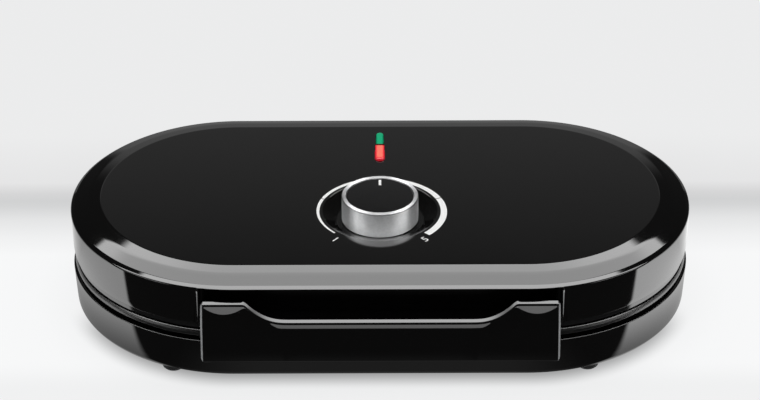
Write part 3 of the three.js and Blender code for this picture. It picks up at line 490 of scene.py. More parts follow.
def prismInto(bm, points, left, right):
    addSolid(bm, [addRow(bm, [(x, y, z) for y, z in points]) for x in (left, right)])


def meshFrom(name, bm):
    mesh = bpy.data.meshes.new(name)
    bm.to_mesh(mesh)
    bm.free()
    return added(name, mesh)


def markSharp(bm, sharp):
    for edge in bm.edges:
        edge.smooth = len(edge.link_faces) == 2 and edge.calc_face_angle(0) < math.radians(sharp)


def dress(name, look):
    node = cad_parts[name]
    if node.material_slots:
        node.material_slots[0].material = looks[look]
    else:
        node.data.materials.append(looks[look])


def piece(name, bm, body, look, nodes=(), sharp=30):
    bmesh.ops.remove_doubles(bm, verts=bm.verts, dist=weld)
    bmesh.ops.recalc_face_normals(bm, faces=bm.faces)
    for face in bm.faces:
        face.smooth = True
    markSharp(bm, sharp)
    made = meshFrom(name, bm)
    made.data.materials.append(looks[look])
    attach(made, body)
    if nodes:
        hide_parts(*nodes)
        for node in nodes:
            dress(node, look)
    return made


def settle(made):
    graph = bpy.context.evaluated_depsgraph_get()
    mesh = bpy.data.meshes.new_from_object(made.evaluated_get(graph))
    made.modifiers.clear()
    made.data = mesh


def cutAway(made, *tools):
    cutters = []
    for bm in tools:
        bmesh.ops.recalc_face_normals(bm, faces=bm.faces)
        cutters.append(meshFrom("cutter", bm))
        step = made.modifiers.new("cut", "BOOLEAN")
        step.operation = "DIFFERENCE"
        step.solver = "EXACT"
        step.object = cutters[-1]
    settle(made)
    for cutter in cutters:
        bpy.data.objects.remove(cutter)
    bm = bmesh.new()
    bm.from_mesh(made.data)
    markSharp(bm, 30)
    bm.to_mesh(made.data)
    bm.free()


def bevelAll(made, width):
    step = made.modifiers.new("edges", "BEVEL")
    step.width = width * mm
    step.segments = 2
    step.limit_method = "ANGLE"
    step.angle_limit = math.radians(40)


def evenNormals(made):
    step = made.modifiers.new("normals", "WEIGHTED_NORMAL")
    step.keep_sharp = True
    step.weight = 60


# Base casing, as (inset, height, rounding) from the foot up its outside and back down its inside
base = {
    "loop": [
        (7.6, 5.2, 0.3), (4.6, 5.2, 1.2), (3.0, 7.6, 3.5), (2.6, 12, 12), (1.1, 31.0, 0.45),
        (6.0, 31.3, 0.1), (6.0, 33.2, 0.1), (3.6, 33.2, 0.8), (2.2, 34.2, 1.2), (2.35, 36.1, 3),
        (3.25, 38.15, 1.5), (9, 38.2, 0.5), (10, 36.2, 0.5), (22.3, 36.2, 0.5), (22.3, 33.8, 0.2),
        (25.7, 33.8, 0.4), (25.7, 31.2, 0.4), (19.7, 31.2, 0.2), (19.7, 33.6, 0.4), (9.4, 33.6, 0.4),
        (7.6, 28.6, 0.6), (4.2, 26, 2), (5.3, 11.3, 2), (7.8, 8, 0.4), (7.8, 5.2, 0.1),
    ],
    "holeX": 45, "holeZ": 17, "hole": 5.3, "holeSpan": (92, 112),
}
hinge = {
    "places": (-75, 75), "y": 103, "z": 40.2, "radius": 5.5, "pin": 2, "ear": 6, "lug": 12, "gap": 0.5,
    "edge": 0.5, "earFoot": 25.9, "earInset": 4.2, "lugHead": 52.3, "lugInset": 2.9, "wrap": 198,
    "tail": 18, "steps": 24, "notchHalf": 13, "notchLow": (97, 33.2), "notchHigh": (113, 50),
}


def hingeNotches(bm):
    for x in hinge["places"]:
        half = hinge["notchHalf"]
        blockInto(bm, (x - half, *hinge["notchLow"]), (x + half, *hinge["notchHigh"]))


def baseCasing():
    bm = bmesh.new()
    addSkin(bm, [addRow(bm, ovalRow(inset, z)) for inset, z in fillet(base["loop"], 8, True)], True, True)
    made = piece("baseCasing", bm, "base", "base", ["base_shell"])
    tools = bmesh.new()
    ring = circleRow(base["hole"], 0, 32, base["holeX"], base["holeZ"])
    addSolid(tools, [addRow(tools, [(x, y, z) for x, z, _ in ring]) for y in base["holeSpan"]])
    hingeNotches(tools)
    cutAway(made, tools)
    evenNormals(made)


# Side outline of an ear, standing on the base (way 1), or of a lug, hanging from the lid (way -1)
def knuckle(low, inset, way):
    y, z, radius = hinge["y"], hinge["z"], hinge["radius"]
    points = [(y - radius, low), (outline["radius"] - inset, low)]
    for k in range(hinge["steps"] + 1):
        angle = way * math.radians(hinge["wrap"] * k / hinge["steps"] - hinge["tail"])
        points.append((y + radius * math.cos(angle), z + radius * math.sin(angle)))
    return points


def hingePieces():
    ears, lugs, pins = bmesh.new(), bmesh.new(), bmesh.new()
    inner = hinge["lug"] / 2 + hinge["gap"]
    reach = inner + hinge["ear"]
    pin = [(0, -reach, 0), (hinge["pin"], -reach, 0.3), (hinge["pin"], reach, 0.3), (0, reach, 0)]
    for x in hinge["places"]:
        for side in (-1, 1):
            near, far = sorted((x + side * inner, x + side * reach))
            prismInto(ears, knuckle(hinge["earFoot"], hinge["earInset"], 1), near, far)
        lug = knuckle(hinge["lugHead"], hinge["lugInset"], -1)
        prismInto(lugs, lug, x - hinge["lug"] / 2, x + hinge["lug"] / 2)
        laidAlong(pins, turnedInto(pins, fillet(pin, 3), 32), "Y", math.pi / 2, (x, hinge["y"], hinge["z"]))
    for name, bm, body in (("hingeEars", ears, "base"), ("hingeLugs", lugs, "lid")):
        made = piece(name, bm, body, "gloss")
        bevelAll(made, hinge["edge"])
        evenNormals(made)
    piece("hingePins", pins, "base", "screw", ["hinge_pin_left", "hinge_pin_right"])


baseCasing()
hingePieces()
print("base casing and hinges made")

lid = {
    "wall": [
        (2.4, 43.4, 0), (1.6, 43.4, 0.5), (1.2, 47.2, 0), (0.02, 70.2, 1.8), (2.6, 72.1, 1.6),
        (11.4, 75.3, 26), (19.5, 77.0, 4), (26.0, 77.0, 0),
    ],
    "foot": 43.4, "brim": 70.2, "top": 77, "notchTop": 47.2, "thick": 2.4, "thinShare": 0.22, "edge": 0.55,
    "pocketHalf": 115.1, "pocketBack": -88.4, "roofBack": 73.3, "roofRound": 1.2,
    "backShares": (0.25, 0.5, 0.75, 1), "thinBeside": 3, "thinBehind": 6, "thinAbove": 66, "slotGap": 0.3,
    "near": 0.01, "brimRear": -100, "sideRear": -103, "sharp": 35,
    "dish": [(39.5, 77, 0), (37, 77, 1.0), (28.0, 71.2, 1.0), (4.3, 71.2, 0)],
    "dishY": -21.4, "dishSteps": 128, "frontSteps": 24, "cornerSteps": 8, "sideSteps": 64, "rearStep": 15,
}
lenses = {
    "green": {"low": 61.2, "high": 77.8, "half": 2.4, "roundEnd": 1, "top": 78.4},
    "red": {"low": 42.8, "high": 61.1, "half": 3.0, "roundEnd": -1, "top": 78.6},
}


def lensLoop(lens, grow, steps=12):
    radius, way = lens["half"] + grow, lens["roundEnd"]
    low, high = lens["low"] - grow, lens["high"] + grow
    flat, centre = (low, high - radius) if way > 0 else (high, low + radius)
    angles = [math.pi * k / steps for k in range(steps + 1)]
    arc = [(way * radius * math.cos(angle), centre + way * radius * math.sin(angle)) for angle in angles]
    return [(-way * radius, flat), (way * radius, flat)] + arc


def cornerPoint(radius, angle, z):
    return (outline["half"] + radius * math.sin(angle), -radius * math.cos(angle), z)


def frontRow(radius, z):
    bend = math.asin((lid["pocketHalf"] - outline["half"]) / radius)
    steps = lid["cornerSteps"]
    right = [cornerPoint(radius, bend * k / steps, z) for k in range(1, steps + 1)]
    steps = lid["frontSteps"]
    middle = [(outline["half"] * (2 * k / steps - 1), -radius, z) for k in range(steps + 1)]
    return [(-x, y, z) for x, y, z in reversed(right)] + middle + right


def backRow(radius, z):
    bend = math.asin((lid["pocketHalf"] - outline["half"]) / radius)
    steps = lid["sideSteps"]
    right = [cornerPoint(radius, bend + (math.pi - bend) * k / steps, z) for k in range(steps + 1)]
    between = {place + side * hinge["notchHalf"] for place in hinge["places"] for side in (1, -1)}
    between |= {k * lid["rearStep"] for k in (-5, -3, -2, -1, 0, 1, 2, 3, 5)}
    middle = [(x, radius, z) for x in sorted(between, reverse=True)]
    return right + middle + [(-x, y, z) for x, y, z in reversed(right)]


# Edges that get a small round: the brim in front, and the pocket's upright edges
def isPocketEdge(edge, brimTop):
    a, b = (vert.co / mm for vert in edge.verts)
    half = lid["pocketHalf"]
    near, rear = lid["near"], max(a.y, b.y)
    onBrim = max(abs(a.z - brimTop), abs(b.z - brimTop)) < near
    inFront = rear < lid["brimRear"] and max(abs(a.x), abs(b.x)) < half + near
    atSide = max(abs(abs(a.x) - half), abs(abs(b.x) - half)) < 2 * near and rear < lid["sideRear"]
    isRound = (onBrim and inFront) or (atSide and abs(a.z - b.z) > 5 * near)
    isSharp = edge.calc_face_angle(0) > math.radians(lid["sharp"])
    return isRound and len(edge.link_faces) == 2 and isSharp


def lidCasing():
    bm = bmesh.new()
    profile = fillet(lid["wall"], 7)
    brim = min(range(len(profile)), key=lambda k: abs(profile[k][1] - lid["brim"]))
    backs, fronts = [], {}
    for level, (inset, z) in enumerate(profile):
        radius = outline["radius"] - inset
        backs.append(addRow(bm, backRow(radius, z)))
        if level >= brim:
            inner = addRow(bm, frontRow(radius, z)[1:-1])
            fronts[level] = [backs[level][-1]] + inner + [backs[level][0]]
    for level, (low, high) in enumerate(zip(backs, backs[1:])):
        for k in range(len(low) - 1):
            middle = (low[k].co.x + low[k + 1].co.x) / 2 / mm
            inNotch = any(abs(middle - place) < hinge["notchHalf"] for place in hinge["places"])
            if inNotch and low[k].co.y > 0 and profile[level + 1][1] <= lid["notchTop"] + lid["near"]:
                continue
            bm.faces.new((low[k], low[k + 1], high[k + 1], high[k]))
        if level >= brim:
            addSkin(bm, [fronts[level], fronts[level + 1]], False)
    # pocket: roof and back wall follow the same stations as the brim
    walls = [[vert] for vert in fronts[brim]]
    for column in walls:
        x, y, z = column[0].co / mm
        back, foot = lid["pocketBack"], lid["foot"]
        path = fillet([(y, z, 0), (back, lid["roofBack"], lid["roofRound"]), (back, foot, 0)], 5)[1:-1]
        lowest = path[-1][1]
        path += [(back, lowest + (foot - lowest) * share) for share in lid["backShares"]]
        column += addRow(bm, [(x, py, pz) for py, pz in path])
    for left, right in zip(walls, walls[1:]):
        for k in range(len(left) - 1):
            bm.faces.new((left[k], right[k], right[k + 1], left[k + 1]))
    for column, end in ((walls[-1], 0), (walls[0], -1)):
        bm.faces.new([backs[level][end] for level in range(1, brim)] + column)
    # flat top with the dish and the slots of the lenses
    top = backs[-1][:-1] + fronts[len(profile) - 1][:-1]
    dish = fillet(lid["dish"], 7)
    dishRows = [addRow(bm, circleRow(radius, z, lid["dishSteps"], 0, lid["dishY"])) for radius, z in dish]
    addSkin(bm, dishRows)
    slots = [[(x, y, lid["top"]) for x, y in lensLoop(lens, lid["slotGap"])] for lens in lenses.values()]
    fillFlat(bm, [top, dishRows[0], *(addRow(bm, slot) for slot in slots)])
    bmesh.ops.remove_doubles(bm, verts=bm.verts, dist=weld)
    bmesh.ops.recalc_face_normals(bm, faces=bm.faces)
    chosen = [edge for edge in bm.edges if isPocketEdge(edge, profile[brim][1])]
    bmesh.ops.bevel(
        bm, geom=chosen, offset=lid["edge"] * mm, segments=4, profile=0.5, affect="EDGES",
        clamp_overlap=True,
    )
    made = piece("lidCasing", bm, "lid", "shell", ["lid_shell"])
    thin = made.vertex_groups.new(name="thin")
    for vert in made.data.vertices:
        x, y, z = vert.co / mm
        front = abs(x) < lid["pocketHalf"] + lid["thinBeside"] and y < lid["pocketBack"] + lid["thinBehind"]
        thin.add([vert.index], lid["thinShare"] if front and z > lid["thinAbove"] else 1, "REPLACE")
    thicken = made.modifiers.new("wall", "SOLIDIFY")
    thicken.thickness = lid["thick"] * mm
    thicken.offset = -1
    thicken.vertex_group = "thin"
    evenNormals(made)


# Raised lips beside the pocket, as (across, out from the wall, rounding)
lips = {
    "section": [
        (115.9, -0.1, 0), (115.9, 0.02, 0.1), (115.1, 0.95, 0.3), (114.5, 0.95, 0.3), (114.5, -0.6, 0),
    ],
    "low": 43.5, "high": 69.6, "steps": 24, "endShare": 0.55, "growShare": 0.25, "proudFrom": 0.1,
}


def pocketLips():
    bm = bmesh.new()
    wall = fillet(lid["wall"], 7)
    for side in (-1, 1):
        rows = []
        for k in range(lips["steps"] + 1):
            z = lips["low"] + (lips["high"] - lips["low"]) * k / lips["steps"]
            low, high = next(pair for pair in zip(wall, wall[1:]) if pair[1][1] >= z - 0.001)
            share = (z - low[1]) / max(high[1] - low[1], 0.001)
            radius = outline["radius"] - (low[0] + (high[0] - low[0]) * share)
            grown = min(1, lips["endShare"] + min(k, lips["steps"] - k) * lips["growShare"])
            section = []
            for x, out, bend in lips["section"]:
                out = out * grown if out > lips["proudFrom"] else out
                section.append((side * x, -math.sqrt(radius ** 2 - (x - outline["half"]) ** 2) - out, bend))
            rows.append(addRow(bm, [(x, y, z) for x, y in fillet(section, 4)]))
        addSolid(bm, rows)
    evenNormals(piece("pocketLips", bm, "lid", "gloss"))


lidCasing()
pocketLips()
print("lid casing made")

bosses = [(sx * 169.636, sy * 53.801) for sx in (1, -1) for sy in (1, -1)] + [(0, 93.8), (0, -93.8)]
rim = {
    "loop": [
        (3.0, 39.7, 0.08), (2.9, 43.1, 0.2), (25.7, 43.1, 0.3), (25.7, 41.6, 0.3), (22.3, 41.6, 0.1),
        (22.3, 39.7, 0.5),
    ],
    "handleScrews": [(-95, -98.2), (95, -98.2)], "headHole": 3.4, "headSpan": (30, 41.2),
}


def lidRimPiece():
    bm = bmesh.new()
    addSkin(bm, [addRow(bm, ovalRow(inset, z)) for inset, z in fillet(rim["loop"], 5, True)], True, True)
    made = piece("lidRim", bm, "lid", "rim", ["lid_rim"])
    tools = bmesh.new()
    hingeNotches(tools)
    for x, y in bosses[:5] + rim["handleScrews"]:
        addSolid(tools, [addRow(tools, circleRow(rim["headHole"], z, 32, x, y)) for z in rim["headSpan"]])
    cutAway(made, tools)
    evenNormals(made)


lidRimPiece()
print("lid rim made")

# Handle panel: front face, scooped top edge with a pale lip, and a moon-shaped facet below each raised end
handle = {
    "halfWidth": 113.6, "front": 108.5, "thick": 2.4, "bottom": 16.9, "top": 59.2, "scoop": 47.1,
    "flatHalf": 56, "topHalf": 85.6, "power": 2.9, "round": 1.3, "roundShares": (-1, -0.5, 0, 0.5, 1),
    "corner": 2.4, "cornerShare": 0.5, "chamferWide": 1.2, "chamferDeep": 1.4, "least": 0.6,
    "lip": 2.2, "lipLean": 38, "lipTurn": 10, "fold": 1.5, "lean": 43, "steep": 3.4, "toe": 0.3,
    "step": 0.2, "facet": 1.75, "facetEnd": 72.5, "facetFade": 9, "facetLeast": 0.06, "wingDepth": 4.2,
    "wingLeast": 0.3, "rampFrom": 62, "rampTo": 86, "moonFrom": 85.2, "moonTo": 112.4, "moonDepth": 0.88,
    "depth": 6.0, "underLip": 2.6, "web": 6.5, "foot": 1.0, "footIn": 1.2, "footUp": 1.3,
    "lugX": 95, "lugHalf": 6.5, "lugLow": (-106.6, 43.4), "lugHigh": (-92.8, 53.4),
    "stations": (0, 14, 28, 42, 52, 56), "rampSteps": 32, "wingStep": 0.8, "wingSteps": 30,
    "ends": (2.4, 2.0, 1.6, 1.25, 1.2, 1.1, 0.8, 0.5, 0.2, 0.05, 0),
}


def handleTop(x):
    run = handle["topHalf"] - handle["flatHalf"]
    total = 0
    for share in handle["roundShares"]:
        reach = abs(x) + share * handle["round"] - handle["flatHalf"]
        total += min(max(reach / run, 0), 1) ** handle["power"]
    return handle["scoop"] + (handle["top"] - handle["scoop"]) * total / len(handle["roundShares"])


def handleFacet(x):
    # depth of the strip behind the front, and how much of it the pale facet below takes
    reach = abs(x)
    back = ease((reach - handle["rampFrom"]) / (handle["rampTo"] - handle["rampFrom"]))
    depth = handle["facet"] + (handle["wingDepth"] - handle["facet"]) * back
    across = (2 * reach - handle["moonFrom"] - handle["moonTo"]) / (handle["moonTo"] - handle["moonFrom"])
    if abs(across) < 1:
        return depth, depth * handle["moonDepth"] * (1 - across * across)
    return depth, handle["facet"] * ease((handle["facetEnd"] - reach) / handle["facetFade"])


def handleRow(x):
    end = handle["halfWidth"] - abs(x)
    cut = handle["chamferDeep"] * max(1 - end / handle["chamferWide"], 0)
    drop = max(handle["corner"] - end, 0)
    corner = handle["corner"] - math.sqrt(max(handle["corner"] ** 2 - drop ** 2, 0))
    front = cut - handle["front"]
    back = max(handle["thick"] - handle["front"], front + handle["least"])
    top = handleTop(x) - corner * handle["cornerShare"]
    bottom = handle["bottom"] + corner
    steepness = abs(handleTop(abs(x) + 0.5) - handleTop(abs(x) - 0.5))
    lean = math.radians(handle["lean"])
    lipLean = math.radians(handle["lipLean"] + handle["lipTurn"] * steepness)
    depth, facet = handleFacet(x)
    depth = max(depth - cut, handle["wingLeast"])
    facet = min(max(facet, handle["facetLeast"]), depth)
    strip = front + depth
    lipFoot = top - handle["lip"] * math.sin(lipLean)
    lipBack = strip + handle["step"] + handle["lip"] * math.cos(lipLean)
    facetTop = lipFoot - handle["fold"]
    facetFoot = facetTop - facet * math.tan(lean)
    toe = facetFoot - (depth - facet) * handle["steep"] - handle["toe"]
    rear = max(front + handle["depth"], lipBack - handle["step"] + handle["least"])
    under = top - handle["underLip"]
    path = [
        (back, bottom + handle["foot"], 0.2), (front + handle["footIn"], bottom, 0.4),
        (front, bottom + handle["footUp"], 1.0), (front, toe, 0.6),
        (strip - facet, facetFoot, 0.25), (strip, facetTop, 0.15), (strip + handle["step"], lipFoot, 0.12),
        (lipBack, top, 0.4), (rear, top, 0.3), (rear, under, 0.3), (back, under - handle["web"], 0.4),
    ]
    return [(x, y, z) for y, z in fillet(path, 4, True)]


def handlePiece():
    bm = bmesh.new()
    half = list(handle["stations"])
    run = handle["topHalf"] - handle["flatHalf"]
    half += [handle["flatHalf"] + run * k / handle["rampSteps"] for k in range(1, handle["rampSteps"] + 1)]
    half += [handle["topHalf"] + k * handle["wingStep"] for k in range(1, handle["wingSteps"] + 1)]
    half += [handle["halfWidth"] - end for end in handle["ends"]]
    half = sorted(set(round(x, 3) for x in half))
    addSolid(bm, [addRow(bm, handleRow(x)) for x in [-x for x in reversed(half[1:])] + half])
    bmesh.ops.remove_doubles(bm, verts=bm.verts, dist=weld)
    lug = handle["lugHalf"]
    for x in (-handle["lugX"], handle["lugX"]):
        blockInto(bm, (x - lug, *handle["lugLow"]), (x + lug, *handle["lugHigh"]))
    evenNormals(piece("handlePanel", bm, "lid", "panel", ["handle_panel"], 28))


handlePiece()
print("handle panel made")

# Dial pieces, turned from (radius, height, rounding)
dial = {
    "y": -21.4, "steps": 128,
    "knob": [
        (0, 86.6, 0), (21.6, 86.6, 0.3), (21.6, 89, 0.7), (24.6, 89, 0.8), (24.6, 71.7, 0.5),
        (22.6, 71.7, 0.3), (22.6, 84.6, 0.5), (6, 84.6, 0.5), (6, 73.7, 0.3), (3.3, 73.7, 0.2),
        (3.3, 83.6, 0.2), (0, 83.6, 0),
    ],
    "insert": [(0, 86.9, 0), (21.3, 86.9, 0.15), (21.3, 88.4, 0.35), (0, 88.4, 0)],
    "pointerHalf": 0.8, "pointerFrom": 13.2, "pointerTo": 19.8, "pointerLow": 88.35, "pointerHigh": 88.7,
    "pointerEdge": 0.12,
}


def dialPieces():
    knob, insert, pointer = bmesh.new(), bmesh.new(), bmesh.new()
    turnedInto(knob, fillet(dial["knob"], 6), dial["steps"], 0, dial["y"])
    evenNormals(piece("controlKnob", knob, "dial", "silver", ["control_knob"]))
    turnedInto(insert, fillet(dial["insert"], 4), dial["steps"], 0, dial["y"])
    evenNormals(piece("knobInsert", insert, "dial", "insert", ["knob_insert"]))
    blockInto(pointer, (-dial["pointerHalf"], dial["y"] + dial["pointerFrom"], dial["pointerLow"]),
              (dial["pointerHalf"], dial["y"] + dial["pointerTo"], dial["pointerHigh"]))
    edge = dial["pointerEdge"] * mm
    bmesh.ops.bevel(pointer, geom=pointer.edges[:], offset=edge, segments=2, affect="EDGES")
    piece("knobPointer", pointer, "dial", "ink", ["knob_pointer"])


dialPieces()

# Printed scale round the dial: a wedge that grows with the heat, with thin breaks and a number at each end
scale = {
    "inner": 39.0, "low": 76.985, "high": 77.05, "step": 2, "fewest": 6,
    "widths": [(-133, 1.1), (-90, 1.8), (0, 2.8), (90, 4.0), (134, 4.6)],
    "spans": [(-133, -67.5), (-66.5, -0.5), (0.5, 66.5), (67.5, 134)],
    "numbers": [("1", -141), ("5", 141)], "numberRadius": 45.5, "numberSize": 8.0, "numberThick": 0.03,
    "numberSink": 0.02,
}


def scaleWidth(angle):
    table = scale["widths"]
    for (a, wa), (b, wb) in zip(table, table[1:]):
        if a <= angle <= b:
            return wa + (wb - wa) * (angle - a) / (b - a)
    return table[-1][1]


def scalePoint(radius, angle, z):
    turn = math.radians(angle)
    return (radius * math.sin(turn), dial["y"] + radius * math.cos(turn), z)


def scaleMarks():
    bm = bmesh.new()
    low, high, inner = scale["low"], scale["high"], scale["inner"]
    for start, end in scale["spans"]:
        count = max(int((end - start) / scale["step"]), scale["fewest"])
        rows = []
        for k in range(count + 1):
            angle = start + (end - start) * k / count
            outer = inner + scaleWidth(angle)
            corners = ((inner, low), (outer, low), (outer, high), (inner, high))
            rows.append(addRow(bm, [scalePoint(radius, angle, z) for radius, z in corners]))
        addSolid(bm, rows)
    piece("heatScale", bm, "lid", "ink")
    for text, angle in scale["numbers"]:
        letter = bpy.data.curves.new("scaleNumber", "FONT")
        letter.body = text
        letter.size = scale["numberSize"] * mm
        letter.align_x = "CENTER"
        letter.align_y = "CENTER"
        letter.extrude = scale["numberThick"] * mm
        letter.resolution_u = 6
        soft = added("scaleNumber" + text, letter)
        mesh = bpy.data.meshes.new_from_object(soft.evaluated_get(bpy.context.evaluated_depsgraph_get()))
        bpy.data.objects.remove(soft)
        made = added("scaleNumber" + text + "Ink", mesh)
        spot = Vector(scalePoint(scale["numberRadius"], angle, high - scale["numberSink"])) * mm
        made.matrix_world = Matrix.Translation(spot) @ Matrix.Rotation(math.radians(180 - angle), 4, "Z")
        mesh.materials.clear()
        mesh.materials.append(looks["ink"])
        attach(made, "lid")


scaleMarks()
print("dial and its scale made")

lensSizes = {"foot": 72.5, "edge": 1.0, "crown": 1.6, "flange": 1.6, "flangeSpan": (72.2, 73.8)}


def lensPieces():
    for name, lens in lenses.items():
        bm = bmesh.new()
        top = lens["top"]
        path = [(0, lensSizes["foot"], 0), (0, top, lensSizes["edge"]), (-lensSizes["crown"], top, 0)]
        rows = [[(x, y, z) for x, y in lensLoop(lens, min(grow, 0))] for grow, z in fillet(path, 6)]
        addSolid(bm, [addRow(bm, row) for row in rows])
        flange = lens["half"] + lensSizes["flange"]
        low, high = lensSizes["flangeSpan"]
        blockInto(bm, (-flange, lens["low"], low), (flange, lens["high"], high))
        evenNormals(piece(name + "Lens", bm, "lid", name, [name + "_lens"]))


lensPieces()

feet = {
    "path": [
        (0, 0, 0), (5.6, 0, 0.8), (7, 1.4, 0.8), (7, 4.4, 0.7), (6.2, 5.05, 0.1), (2.7, 5.05, 0),
        (2.7, 8.2, 0), (1.6, 10.2, 0.3), (0, 10.2, 0),
    ],
    "x": 132.06, "y": 84.97, "steps": 40,
}


def footPieces():
    for endName, sideY in (("Front", -1), ("Rear", 1)):
        for sideName, sideX in (("Left", -1), ("Right", 1)):
            bm = bmesh.new()
            x, y = sideX * feet["x"], sideY * feet["y"]
            turnedInto(bm, fillet(feet["path"], 4), feet["steps"], x, y)
            node = f"foot_{endName}_{sideName}".lower()
            evenNormals(piece("foot" + endName + sideName, bm, "base", "rubber", [node]))


cover = {
    "radius": 99.1, "low": 5.5, "high": 7.7, "edge": 0.25, "screwHole": 1.9, "stemHole": 3.0,
    "ventHalf": 1.5, "ventReach": 17, "ventSteps": 8, "pitch": 8, "count": 5,
}


def coverPiece():
    bm = bmesh.new()
    half, steps, z = cover["ventHalf"], cover["ventSteps"], cover["high"]
    loops = [ovalRow(outline["radius"] - cover["radius"], z)]
    for side in (-1, 1):
        for k in range(cover["count"]):
            x = side * outline["half"] + (k - (cover["count"] - 1) / 2) * cover["pitch"]
            loop = []
            for end in (1, -1):
                for s in range(steps + 1):
                    angle = math.pi * s / steps
                    y = end * (cover["ventReach"] - half + half * math.sin(angle))
                    loop.append((x + end * half * math.cos(angle), y, z))
            loops.append(loop)
    loops += [circleRow(cover["screwHole"], z, 24, x, y) for x, y in bosses]
    stems = [(sx * feet["x"], sy * feet["y"]) for sx in (-1, 1) for sy in (-1, 1)]
    loops += [circleRow(cover["stemHole"], z, 24, x, y) for x, y in stems]
    fillFlat(bm, [addRow(bm, loop) for loop in loops])
    made = piece("bottomCover", bm, "base", "satin", ["bottom_cover"])
    thicken = made.modifiers.new("sheet", "SOLIDIFY")
    thicken.thickness = (cover["high"] - cover["low"]) * mm
    thicken.offset = -1 if made.data.polygons[0].normal.z > 0 else 1
    settle(made)
    bevelAll(made, cover["edge"])


gland = [
    (3.5, 94.1, 0.2), (5, 94.1, 0.2), (5, 105.9, 0.1), (6.6, 105.9, 0.3), (6.6, 107.3, 0.9),
    (5.4, 108.1, 0.5), (3.5, 108.1, 0.5),
]


def glandPiece():
    bm = bmesh.new()
    verts = turnedInto(bm, fillet(gland, 4, True), 48, closed=True)
    laidAlong(bm, verts, "X", -math.pi / 2, (base["holeX"], 0, base["holeZ"]))
    evenNormals(piece("cordGland", bm, "base", "rubber", ["cord_gland"]))


screw = {
    "head": 3.1, "dome": 1.7, "shank": 1.6, "cross": 0.45, "arm": 1.9, "deep": 1.1, "under": 1, "tip": 1.6,
    "rise": 0.05, "coverLow": 3.65, "rimLow": 39.35, "long": 15, "short": 11, "steps": 32,
}


def screwPieces():
    groups = [
        ("cover", "base", bosses, screw["coverLow"], screw["long"]),
        ("rim", "lid", bosses[:5], screw["rimLow"], screw["long"]),
        ("handle", "lid", rim["handleScrews"], screw["rimLow"], screw["short"]),
    ]
    head, dome, shank, arm, cross = (screw[key] for key in ("head", "dome", "shank", "arm", "cross"))
    for name, body, places, low, reach in groups:
        whole, wideSlots, deepSlots = bmesh.new(), bmesh.new(), bmesh.new()
        path = fillet([
            (0, low, 0), (head, low + screw["rise"], 1.0), (head, low + dome, 0.1), (shank, low + dome, 0),
            (shank, low + reach - screw["tip"], 0), (0, low + reach, 0),
        ], 5)
        for x, y in places:
            turnedInto(whole, path, screw["steps"], x, y)
            under, over = low - screw["under"], low + screw["deep"]
            blockInto(wideSlots, (x - arm, y - cross, under), (x + arm, y + cross, over))
            blockInto(deepSlots, (x - cross, y - arm, under), (x + cross, y + arm, over))
        nodes = [f"{name}_screw_{k + 1}" for k in range(len(places))]
        cutAway(piece(name + "Screws", whole, body, "screw", nodes), wideSlots, deepSlots)


footPieces()
coverPiece()
glandPiece()
screwPieces()
print("lenses, feet, cover, gland and screws made")

# Baking plates: two round moulds, each with five hearts round its middle and studs in every heart
plate = {
    "radius": 84.6, "centre": 92.8, "flange": 3.4, "flangeEdge": 1, "pan": 79, "panIn": 1, "mould": 75,
    "ridge": 4.0, "floor": 9.8, "under": 12.8, "draft": 1.9, "steps": 300, "backSteps": 96,
    "lowerFace": 37.5, "upperFace": 37.9,
    "hearts": 5, "tip": 5.0, "lobeAway": 54.0, "lobeSide": 15.2, "lobe": 17.2, "studMargin": 5.6,
    "pitch": 15.4, "studTop": 3.5, "studBase": 5.0, "studTall": 6.0, "studSoft": 0.3,
    "skirt": (1.6, 0.9, 0.4), "fineStep": 0.4, "fineReach": 2.4, "ringStep": 0.95, "smallest": 1.5,
}


def mouldDepth(radius, angle):
    sector = full / plate["hearts"]
    turn = (angle - math.pi / 2 + sector / 2) % sector - sector / 2
    u = radius * math.cos(turn)
    w = radius * math.sin(turn)
    away, side, tip, lobe = plate["lobeAway"], plate["lobeSide"], plate["tip"], plate["lobe"]
    tangent = math.atan2(side, away - tip) + math.asin(lobe / math.hypot(away - tip, side))
    inLobe = math.hypot(u - away, abs(w) - side) - lobe
    toEdge = (u - tip) * math.sin(tangent) - abs(w) * math.cos(tangent)
    inside = -min(inLobe, max(-toEdge, u - away))
    depth = plate["ridge"] * ease((plate["mould"] - radius) / plate["draft"])
    depth += (plate["floor"] - plate["ridge"]) * ease(inside / plate["draft"])
    if inside <= 0:
        return depth
    row = max(round((u - tip) / plate["pitch"]), 1)
    studU, studW = tip + row * plate["pitch"], round(w / plate["pitch"]) * plate["pitch"]
    around = math.hypot(studU - away, abs(studW) - side)
    edge = (studU - tip) * math.sin(tangent) - abs(studW) * math.cos(tangent)
    margin = plate["studMargin"]
    if around < lobe - margin or (studU < away + margin / 2 and edge > margin):
        across = max(abs(u - studU), abs(w - studW)) - plate["studTop"] + plate["studSoft"]
        slope = plate["studBase"] - plate["studTop"] + 2 * plate["studSoft"]
        depth -= plate["studTall"] * (1 - ease(across / slope))
    return depth


